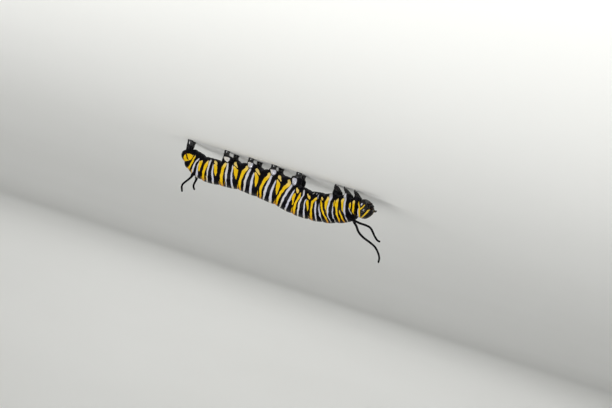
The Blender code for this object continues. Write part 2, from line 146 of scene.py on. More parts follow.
@dataclass
class Pieces:
    """Gathers closed shapes in millimetres that become one mesh."""

    points: list[Array] = field(default_factory=list)
    faces: list[tuple[int, ...]] = field(default_factory=list)
    count: int = 0

    def add(self, points: Array, faces: Sequence[tuple[int, ...]]) -> None:
        """Adds points and the faces between them."""
        self.faces += [tuple(corner + self.count for corner in face) for face in faces]
        self.points.append(np.asarray(points, float))
        self.count += len(points)

    def add_rings(self, rings: Array) -> None:
        """Adds a closed shape through rings of equally many points, its ends fanned to their middles.

        Args:
            rings: An array of rings by points by three.
        """
        number, sides, _ = rings.shape
        faces = []
        for ring in range(number - 1):
            for side in range(sides):
                near, far = ring * sides + side, ring * sides + (side + 1) % sides
                faces.append((near, far, far + sides, near + sides))
        first, last = number * sides, number * sides + 1
        top = (number - 1) * sides
        for side in range(sides):
            faces.append(((side + 1) % sides, side, first))
            faces.append((top + side, top + (side + 1) % sides, last))
        points = np.concatenate([rings.reshape(-1, 3), rings[:1].mean(1), rings[-1:].mean(1)])
        self.add(points, faces)

    def add_tube(self, course: Array, radii: Array, sides: int) -> None:
        """Adds a round tube along a course.

        Args:
            course: The middle's points.
            radii: The radius at each point.
            sides: Points round the tube.
        """
        ahead = unit(np.gradient(course, axis=0))
        across = np.zeros_like(course)
        start = np.eye(3)[np.argmin(np.abs(ahead[0]))]
        for index, way in enumerate(ahead):
            start = unit(start - way * (start @ way))
            across[index] = start
        other = np.cross(ahead, across)
        turns = circle(sides)[None, :, None]
        ring = across[:, None] * np.cos(turns) + other[:, None] * np.sin(turns)
        self.add_rings(course[:, None] + ring * radii[:, None, None])

    def build(self, name: str) -> bpy.types.Object:
        """Makes one object in millimetres.

        Args:
            name: The object's name.

        Returns:
            The object, linked to the scene.
        """
        mesh = bpy.data.meshes.new(name)
        mesh.from_pydata(np.concatenate(self.points).tolist(), [], self.faces)
        mesh.shade_smooth()
        piece = bpy.data.objects.new(name, mesh)
        bpy.context.scene.collection.objects.link(piece)
        return piece


def coordinates(mesh: bpy.types.Mesh) -> Array:
    """The mesh's points, one row each."""
    values = np.empty(len(mesh.vertices) * 3, np.float32)
    mesh.vertices.foreach_get("co", values)
    return values.reshape(-1, 3).astype(float)


def move_points(mesh: bpy.types.Mesh, points: Array) -> None:
    """Puts the mesh's points in new places."""
    mesh.vertices.foreach_set("co", points.astype(np.float32).ravel())
    mesh.update()


def write_values(mesh: bpy.types.Mesh, name: str, values: Array) -> None:
    """Stores one number for each point under a name."""
    layer = mesh.attributes.new(name, "FLOAT", "POINT")
    layer.data.foreach_set("value", values.astype(np.float32))


def finish_piece(
    piece: bpy.types.Object, material: bpy.types.Material, nodes: Sequence[str]
) -> None:
    """Scales a piece to metres, dresses it and sets it on the body.

    Args:
        piece: The object, in millimetres.
        material: What it is made of.
        nodes: The solids that it stands for.
    """
    piece.data.transform(Matrix.Scale(MM, 4))
    piece.data.materials.clear()
    piece.data.materials.append(material)
    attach(piece, "root")
    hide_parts(*nodes)
    log.info("%s: %d faces", piece.name, len(piece.data.polygons))


# ---------------------------------------------------------------- materials


def linear(code: str) -> tuple[float, float, float, float]:
    """Turns an sRGB hex colour to linear red, green, blue and an alpha of one."""
    shares = [int(code[place : place + 2], 16) / 255 for place in (1, 3, 5)]
    values = [s / 12.92 if s <= 0.04045 else ((s + 0.055) / 1.055) ** 2.4 for s in shares]
    return values[0], values[1], values[2], 1.0


def per_mm(size: float) -> float:
    """The texture scale in metres that gives a pattern of a size in millimetres."""
    return 1.0 / (size * MM)


def add_node(
    tree: bpy.types.NodeTree,
    kind: str,
    settings: dict[Any, Any] | None = None,
    links: dict[Any, bpy.types.NodeSocket] | None = None,
) -> bpy.types.Node:
    """Adds a node with its settings and links.

    Args:
        tree: The material's nodes.
        kind: The node's type, without the word ShaderNode.
        settings: Values for its sockets, by name or number, or for its own properties.
        links: Sockets of other nodes that feed its sockets.

    Returns:
        The node.
    """
    node = tree.nodes.new("ShaderNode" + kind)
    for key, value in (settings or {}).items():
        if isinstance(key, str) and hasattr(node, key):
            setattr(node, key, value)
        else:
            node.inputs[key].default_value = value
    for key, socket in (links or {}).items():
        tree.links.new(socket, node.inputs[key])
    return node


def new_material(name: str) -> tuple[bpy.types.Material, bpy.types.NodeTree, bpy.types.Node]:
    """Starts a material with one Principled shader.

    Args:
        name: The material's name.

    Returns:
        The material, its nodes and the shader.
    """
    material = bpy.data.materials.new(name)
    material.use_nodes = True
    tree = material.node_tree
    tree.nodes.clear()
    output = tree.nodes.new("ShaderNodeOutputMaterial")
    shader = tree.nodes.new("ShaderNodeBsdfPrincipled")
    tree.links.new(shader.outputs[0], output.inputs[0])
    return material, tree, shader


def noise(
    tree: bpy.types.NodeTree, place: bpy.types.NodeSocket, size: float, detail: float, roughness: float = 0.5
) -> bpy.types.NodeSocket:
    """Adds a noise texture.

    Args:
        tree: The material's nodes.
        place: The socket that gives the place.
        size: The pattern's size in millimetres.
        detail: How many finer layers it has.
        roughness: How strong the finer layers are.

    Returns:
        Its value, from 0 to 1.
    """
    settings = {"Scale": per_mm(size), "Detail": detail, "Roughness": roughness}
    return add_node(tree, "TexNoise", settings, {"Vector": place}).outputs[0]


def cells(tree: bpy.types.NodeTree, place: bpy.types.NodeSocket, size: float) -> bpy.types.NodeSocket:
    """Small round cells of a size in millimetres."""
    settings = {"Scale": per_mm(size), "feature": "SMOOTH_F1"}
    return add_node(tree, "TexVoronoi", settings, {"Vector": place}).outputs[0]


def mapped(
    tree: bpy.types.NodeTree, value: bpy.types.NodeSocket, settings: dict[Any, Any]
) -> bpy.types.NodeSocket:
    """A value moved from one range to another."""
    return add_node(tree, "MapRange", settings, {"Value": value}).outputs[0]


def stored(tree: bpy.types.NodeTree, name: str) -> bpy.types.NodeSocket:
    """A value that is stored on the mesh's points."""
    return add_node(tree, "Attribute", {"attribute_name": name}).outputs["Fac"]


def blend(
    tree: bpy.types.NodeTree, first: Any, second: Any, share: bpy.types.NodeSocket
) -> bpy.types.NodeSocket:
    """Blends two colours.

    Args:
        tree: The material's nodes.
        first: The colour at share 0, a hex code or a socket.
        second: The colour at share 1, a hex code or a socket.
        share: How much of the second there is.

    Returns:
        The blended colour.
    """
    settings: dict[Any, Any] = {"data_type": "RGBA"}
    links = {0: share}
    for number, colour in ((6, first), (7, second)):
        if isinstance(colour, str):
            settings[number] = linear(colour)
        else:
            links[number] = colour
    return add_node(tree, "Mix", settings, links).outputs[2]


def pigment_mask(
    tree: bpy.types.NodeTree, name: str, wobble: bpy.types.NodeSocket, edge: float
) -> bpy.types.NodeSocket:
    """Where a pigment shows.

    Args:
        tree: The material's nodes.
        name: The stored value that tells how deep each place lies in the pigment.
        wobble: What makes the edge ragged.
        edge: Half the width over which the edge fades, in millimetres.

    Returns:
        1 in the pigment and 0 outside it.
    """
    moved = add_node(tree, "Math", {"operation": "ADD"}, {0: stored(tree, name), 1: wobble}).outputs[0]
    settings = {"interpolation_type": "SMOOTHSTEP", "From Min": -edge, "From Max": edge}
    return mapped(tree, moved, settings)


def add_bump(
    tree: bpy.types.NodeTree,
    shader: bpy.types.Node,
    height: bpy.types.NodeSocket,
    strength: float,
    depth: float,
) -> None:
    """Gives a shader a fine relief.

    Args:
        tree: The material's nodes.
        shader: The shader that shows it.
        height: The relief's height, from 0 to 1.
        strength: How strongly it shows.
        depth: How deep it is, in millimetres.
    """
    settings = {"Strength": strength, "Distance": depth * MM}
    bump = add_node(tree, "Bump", settings, {"Height": height})
    tree.links.new(bump.outputs[0], shader.inputs["Normal"])


@dataclass(frozen=True)
class SkinFinish:
    """Larval cuticle: soft chitin over pigment, with a satin face of fine creases and grains.

    Pigment lies in the skin itself, so its edges are crisp but a little ragged. The satin face scatters
    a broad highlight, and plates and foot shields, where the chitin is hard, shine.
    """

    black: str = "#030205"
    black_worn: str = "#08070F"
    yellow: str = "#CFA807"
    # Deep orange-yellow: random mottle, and painted shade on the back.
    yellow_mottle_and_shade: str = "#B87C06"
    # Pale yellow: painted light on the lower flanks.
    yellow_painted_light: str = "#E4CC7C"
    white: str = "#B3B3BD"
    cream: str = "#C2BCAC"
    speckle: str = "#504E5C"
    brown: str = "#2C1008"
    membrane: str = "#35333A"
    roughness: float = 0.42
    plate_roughness: float = 0.20
    edge_mm: float = 0.030
    ragged_mm: float = 0.14
    grain_mm: float = 0.055
    crease_mm: float = 0.075
    crease_length_mm: float = 0.9
    speckle_mm: float = 0.16
    mottle_mm: float = 0.35

    def build(self) -> bpy.types.Material:
        """Makes the material.

        Returns:
            The cuticle, coloured by the values stored on the skin.
        """
        material, tree, shader = new_material("larval_cuticle")
        place = add_node(tree, "TexCoord").outputs["Object"]
        ragged = noise(tree, place, self.ragged_mm, 3.0, 0.6)
        wobble = mapped(tree, ragged, {"To Min": -0.035, "To Max": 0.035})
        pigments = [pigment.value for pigment in Pigment]
        masks = {name: pigment_mask(tree, name, wobble, self.edge_mm) for name in pigments}
        shades = {name: stored(tree, name) for name in ("back_shade", "membrane", "plate", "pale", "cream")}
        mottle = noise(tree, place, self.mottle_mm, 4.0, 0.65)
        patchy = mapped(tree, mottle, {"From Min": 0.40, "From Max": 0.68, "To Max": 0.65})
        black = blend(tree, self.black, self.black_worn, patchy)
        black = blend(tree, black, self.membrane, shades["membrane"])
        white = blend(tree, self.white, self.cream, shades["cream"])
        spots = noise(tree, place, self.speckle_mm, 2.0)
        spotted = mapped(tree, spots, {"From Min": 0.48, "From Max": 0.62, "To Max": 1.0})
        both = {0: spotted, 1: shades["plate"]}
        shield = add_node(tree, "Math", {"operation": "MULTIPLY"}, both).outputs[0]
        white = blend(tree, white, self.speckle, shield)
        # Painted light: the yellow grows paler lower down the flanks.
        yellow = blend(tree, self.yellow, self.yellow_painted_light, shades["pale"])
        # Painted shade: the yellow turns deep orange towards the back's midline.
        yellow = blend(tree, yellow, self.yellow_mottle_and_shade, shades["back_shade"])
        deep = mapped(tree, mottle, {"From Min": 0.52, "From Max": 0.75, "To Max": 0.35})
        yellow = blend(tree, yellow, self.yellow_mottle_and_shade, deep)
        colour = blend(tree, black, white, masks["white"])
        colour = blend(tree, colour, yellow, masks["yellow"])
        colour = blend(tree, colour, self.brown, masks["brown"])
        tree.links.new(colour, shader.inputs["Base Color"])
        rough = mapped(tree, shades["plate"], {"To Min": self.roughness, "To Max": self.plate_roughness})
        tree.links.new(rough, shader.inputs["Roughness"])
        scale = (per_mm(self.crease_mm), per_mm(self.crease_length_mm), per_mm(self.crease_length_mm))
        stretched = add_node(tree, "Mapping", {"Scale": scale}, {0: place}).outputs[0]
        creases = add_node(tree, "TexNoise", {"Scale": 1.0, "Detail": 2.0}, {"Vector": stretched}).outputs[0]
        heights = {0: cells(tree, place, self.grain_mm), 2: creases}
        relief = add_node(tree, "Math", {"operation": "MULTIPLY_ADD", 1: 0.45}, heights).outputs[0]
        add_bump(tree, shader, relief, 0.55, 0.022)
        shader.inputs["IOR"].default_value = 1.5
        shader.inputs["Specular IOR Level"].default_value = 0.07
        tree.links.new(shades["plate"], shader.inputs["Coat Weight"])
        shader.inputs["Coat Roughness"].default_value = 0.10
        return material


@dataclass(frozen=True)
class HardFinish:
    """Hard chitin, as on the head, legs and jaws: black to brown, polished, with a faint orange-peel face."""

    name: str
    black: str = "#040306"
    brown: str = "#140A08"
    yellow: str = "#CDA812"
    white: str = "#B4B2BE"
    roughness: float = 0.20
    pit_mm: float = 0.07
    depth_mm: float = 0.008
    mottle_mm: float = 0.5
    ragged_mm: float = 0.10
    edge_mm: float = 0.03
    marked: bool = False

    def build(self) -> bpy.types.Material:
        """Makes the material.

        Returns:
            The chitin, with the head's marks where it is marked.
        """
        material, tree, shader = new_material(self.name)
        place = add_node(tree, "TexCoord").outputs["Object"]
        mottle = noise(tree, place, self.mottle_mm, 4.0)
        share = mapped(tree, mottle, {"From Min": 0.42, "From Max": 0.72, "To Max": 0.8})
        colour = blend(tree, self.black, self.brown, share)
        if self.marked:
            ragged = noise(tree, place, self.ragged_mm, 3.0)
            wobble = mapped(tree, ragged, {"To Min": -self.edge_mm, "To Max": self.edge_mm})
            for name, paint in (("white", self.white), ("yellow", self.yellow)):
                colour = blend(tree, colour, paint, pigment_mask(tree, name, wobble, self.edge_mm))
        tree.links.new(colour, shader.inputs["Base Color"])
        worn = mapped(tree, mottle, {"To Min": self.roughness - 0.05, "To Max": self.roughness + 0.10})
        tree.links.new(worn, shader.inputs["Roughness"])
        add_bump(tree, shader, cells(tree, place, self.pit_mm), 0.5, self.depth_mm)
        shader.inputs["IOR"].default_value = 1.56
        shader.inputs["Specular IOR Level"].default_value = 0.30
        return material


# ---------------------------------------------------------------- the trunk's surface


@dataclass(frozen=True)
class Trunk:
    """The trunk's smooth outer surface, which the solids share."""

    station_zero: float = 22.0
    shift_right: float = 2.468
    round_above: float = 2.1
    round_below: float = 2.5
    swell: float = 0.10
    fold: float = 0.10
    fold_length: float = 0.10
    tail_roundness: float = 2.6
    # The rings between segments from the tail end to the neck: the station and height of the lowest point,
    # those of the top, the half width, and the shift to the right. A separate program converted the stations
    # and heights from typed readings to the camera's final direction; a few were then corrected by hand.
    rings: tuple[tuple[float, ...], ...] = (
        (-2.03, 2.20, -2.34, 3.78, 1.30, 0.00),
        (0.03, 1.66, -1.12, 4.64, 1.60, 0.00),
        (0.98, 1.67, 0.08, 5.92, 1.95, 0.00),
        (3.34, 2.27, 3.66, 7.25, 2.45, 0.00),
        (6.70, 2.16, 7.64, 7.21, 2.60, 0.00),
        (11.06, 1.28, 11.79, 6.94, 2.68, 0.00),
        (15.99, 1.23, 16.10, 7.24, 2.74, 0.00),
        (20.79, 1.22, 20.39, 7.67, 2.80, 0.00),
        (24.96, 2.31, 24.40, 8.40, 2.88, 0.00),
        (27.30, 2.71, 28.24, 8.50, 2.92, 0.00),
        (30.29, 2.39, 31.23, 8.20, 2.86, 0.00),
        (33.28, 1.77, 34.00, 7.57, 2.68, -0.06),
        (35.76, 1.68, 37.18, 6.23, 2.25, -0.20),
        (37.90, 1.82, 37.96, 5.02, 1.66, -0.36),
    )

    def place(self, station: Array, right: Array, height: Array) -> Array:
        """Points at stations forward of the anal feet, distances right of the midline, and heights."""
        return np.stack([self.station_zero - station, right + self.shift_right, height], -1)

    def slices(self, turn: Array) -> tuple[Array, Array, Array, Array, Array]:
        """Reads the trunk's slices.

        Args:
            turn: Where along the body.

        Returns:
            The middle, the arrow up to the top, the direction left, the half width and the way forward.
        """
        knots = np.array(self.rings)
        row = through(knots, turn)
        near = through(knots, np.maximum(turn - 0.02, 0.0))
        far = through(knots, np.minimum(turn + 0.02, float(TURNS)))
        run = far[..., 0] + far[..., 2] - near[..., 0] - near[..., 2]
        drift = far[..., 5] - near[..., 5]
        forward = unit(np.stack([-run * 0.5, drift, np.zeros_like(run)], -1))
        left = np.stack([-forward[..., 1], forward[..., 0], np.zeros_like(run)], -1)
        middle = self.place((row[..., 0] + row[..., 2]) / 2, row[..., 5], (row[..., 1] + row[..., 3]) / 2)
        arrow = forward * ((row[..., 2] - row[..., 0]) / 2)[..., None]
        arrow[..., 2] += (row[..., 3] - row[..., 1]) / 2
        return middle, arrow, left, row[..., 4], forward

    def point(self, turn: Array, angle: Array) -> Array:
        """The surface at each place.

        Args:
            turn: Where along the body.
            angle: Where round it from the back's midline, in radians, positive on the left.

        Returns:
            Points in millimetres.
        """
        middle, arrow, left, half_width, _ = self.slices(turn)
        inward = 1 - np.clip(1 - turn, 0.0, 1.0) ** self.tail_roundness
        shrink = np.where(turn < 1, inward ** (1 / self.tail_roundness), 1.0)
        power = np.where(np.cos(angle) > 0, self.round_above, self.round_below)
        across = signed_power(np.sin(angle), 2 / power)
        up = signed_power(np.cos(angle), 2 / power)
        offset = arrow * up[..., None] + left * (half_width * across)[..., None]
        share = turn - np.floor(turn)
        nearest = np.minimum(share, 1 - share)
        out = self.swell * np.sin(math.pi * share) - self.fold * np.exp(-((nearest / self.fold_length) ** 2))
        return middle + (offset + unit(offset) * out[..., None]) * shrink[..., None]

    def lies(self, turn: Array, angle: Array) -> tuple[Array, Array, Array, Array]:
        """How the surface lies at each place.

        Args:
            turn: Where along the body.
            angle: Where round it.

        Returns:
            The point, how it moves for each turn forward, and for each radian round, and the way out.
        """
        step = 0.01
        low, high = np.clip(turn - step, 0.002, None), np.clip(turn + step, None, TURNS - 0.0005)
        along = (self.point(high, angle) - self.point(low, angle)) / (high - low)[..., None]
        round_body = (self.point(turn, angle + step) - self.point(turn, angle - step)) / (2 * step)
        here = self.point(turn, angle)
        out = unit(np.cross(along, round_body))
        inward = np.sum(out * (here - self.slices(turn)[0]), -1) < 0
        out[inward] *= -1
        return here, along, round_body, out

    def locate(self, points: Array) -> tuple[Array, Array, Array]:
        """Finds the nearest place of the surface to each point.

        Args:
            points: Places in millimetres.

        Returns:
            The turn, the angle, and how far the point stands out of the surface.
        """
        turns, angles = np.meshgrid(
            np.linspace(0.01, TURNS - 0.01, 521), np.linspace(-math.pi, math.pi, 120, endpoint=False)
        )
        turns, angles = turns.ravel(), angles.ravel()
        tree = KDTree(len(turns))
        for index, spot in enumerate(self.point(turns, angles)):
            tree.insert(spot, index)
        tree.balance()
        nearest = np.array([tree.find(spot)[1] for spot in points])
        turn, angle = turns[nearest].copy(), angles[nearest].copy()
        for _ in range(4):
            here, along, round_body, _ = self.lies(turn, angle)
            miss = points - here
            aa, rr = np.sum(along * along, -1), np.sum(round_body * round_body, -1)
            ar = np.sum(along * round_body, -1)
            am, rm = np.sum(along * miss, -1), np.sum(round_body * miss, -1)
            whole = np.maximum(aa * rr - ar * ar, 1e-9)
            turn = turn + np.clip((am * rr - rm * ar) / whole, -0.05, 0.05)
            turn = np.clip(turn, 0.004, TURNS - 0.001)
            angle = angle + np.clip((rm * aa - am * ar) / whole, -0.08, 0.08)
        angle = (angle + math.pi) % (2 * math.pi) - math.pi
        here, _, _, out = self.lies(turn, angle)
        return turn, angle, np.sum((points - here) * out, -1)


TRUNK = Trunk()

# ---------------------------------------------------------------- the markings


class Pigment(Enum):
    """What a band is coloured by."""

    YELLOW = "yellow"
    WHITE = "white"
    BROWN = "brown"


@dataclass(frozen=True)
class Band:
    """One band of a segment.

    Its edges are rows of an angle from the back's midline in degrees, and the front and rear edge there as
    shares of the segment from its front. Between the rows the edges run smoothly.
    """

    pigment: Pigment
    edges: Edges
    inset: float = 0.02

    def depth(self, share: Array, degrees: Array, per_turn: Array) -> Array:
        """How far inside the band each place lies.

        Args:
            share: Its share of the segment from the front.
            degrees: Its angle from the back's midline.
            per_turn: How many millimetres one turn is long there.

        Returns:
            Millimetres, negative outside.
        """
        angles, front, rear = np.array(self.edges).T
        fine = np.arange(-12.0, 193.0, 1.0)
        kernel = np.hanning(9)
        kernel /= kernel.sum()
        smooth = [np.convolve(np.interp(fine, angles, side), kernel, "same") for side in (front, rear)]
        first, last = np.interp(degrees, fine, smooth[0]), np.interp(degrees, fine, smooth[1])
        inside = np.minimum(share - first, last - share) * per_turn - self.inset
        if angles[0] > 0:
            inside = np.minimum(inside, (degrees - angles[0]) * 0.05)
        if angles[-1] < 180:
            inside = np.minimum(inside, (angles[-1] - degrees) * 0.05)
        return inside


def band(pigment: Pigment, *edges: tuple[float, float, float]) -> Band:
    """A band from its edge rows."""
    return Band(pigment, edges)


W, Y, B = Pigment.WHITE, Pigment.YELLOW, Pigment.BROWN

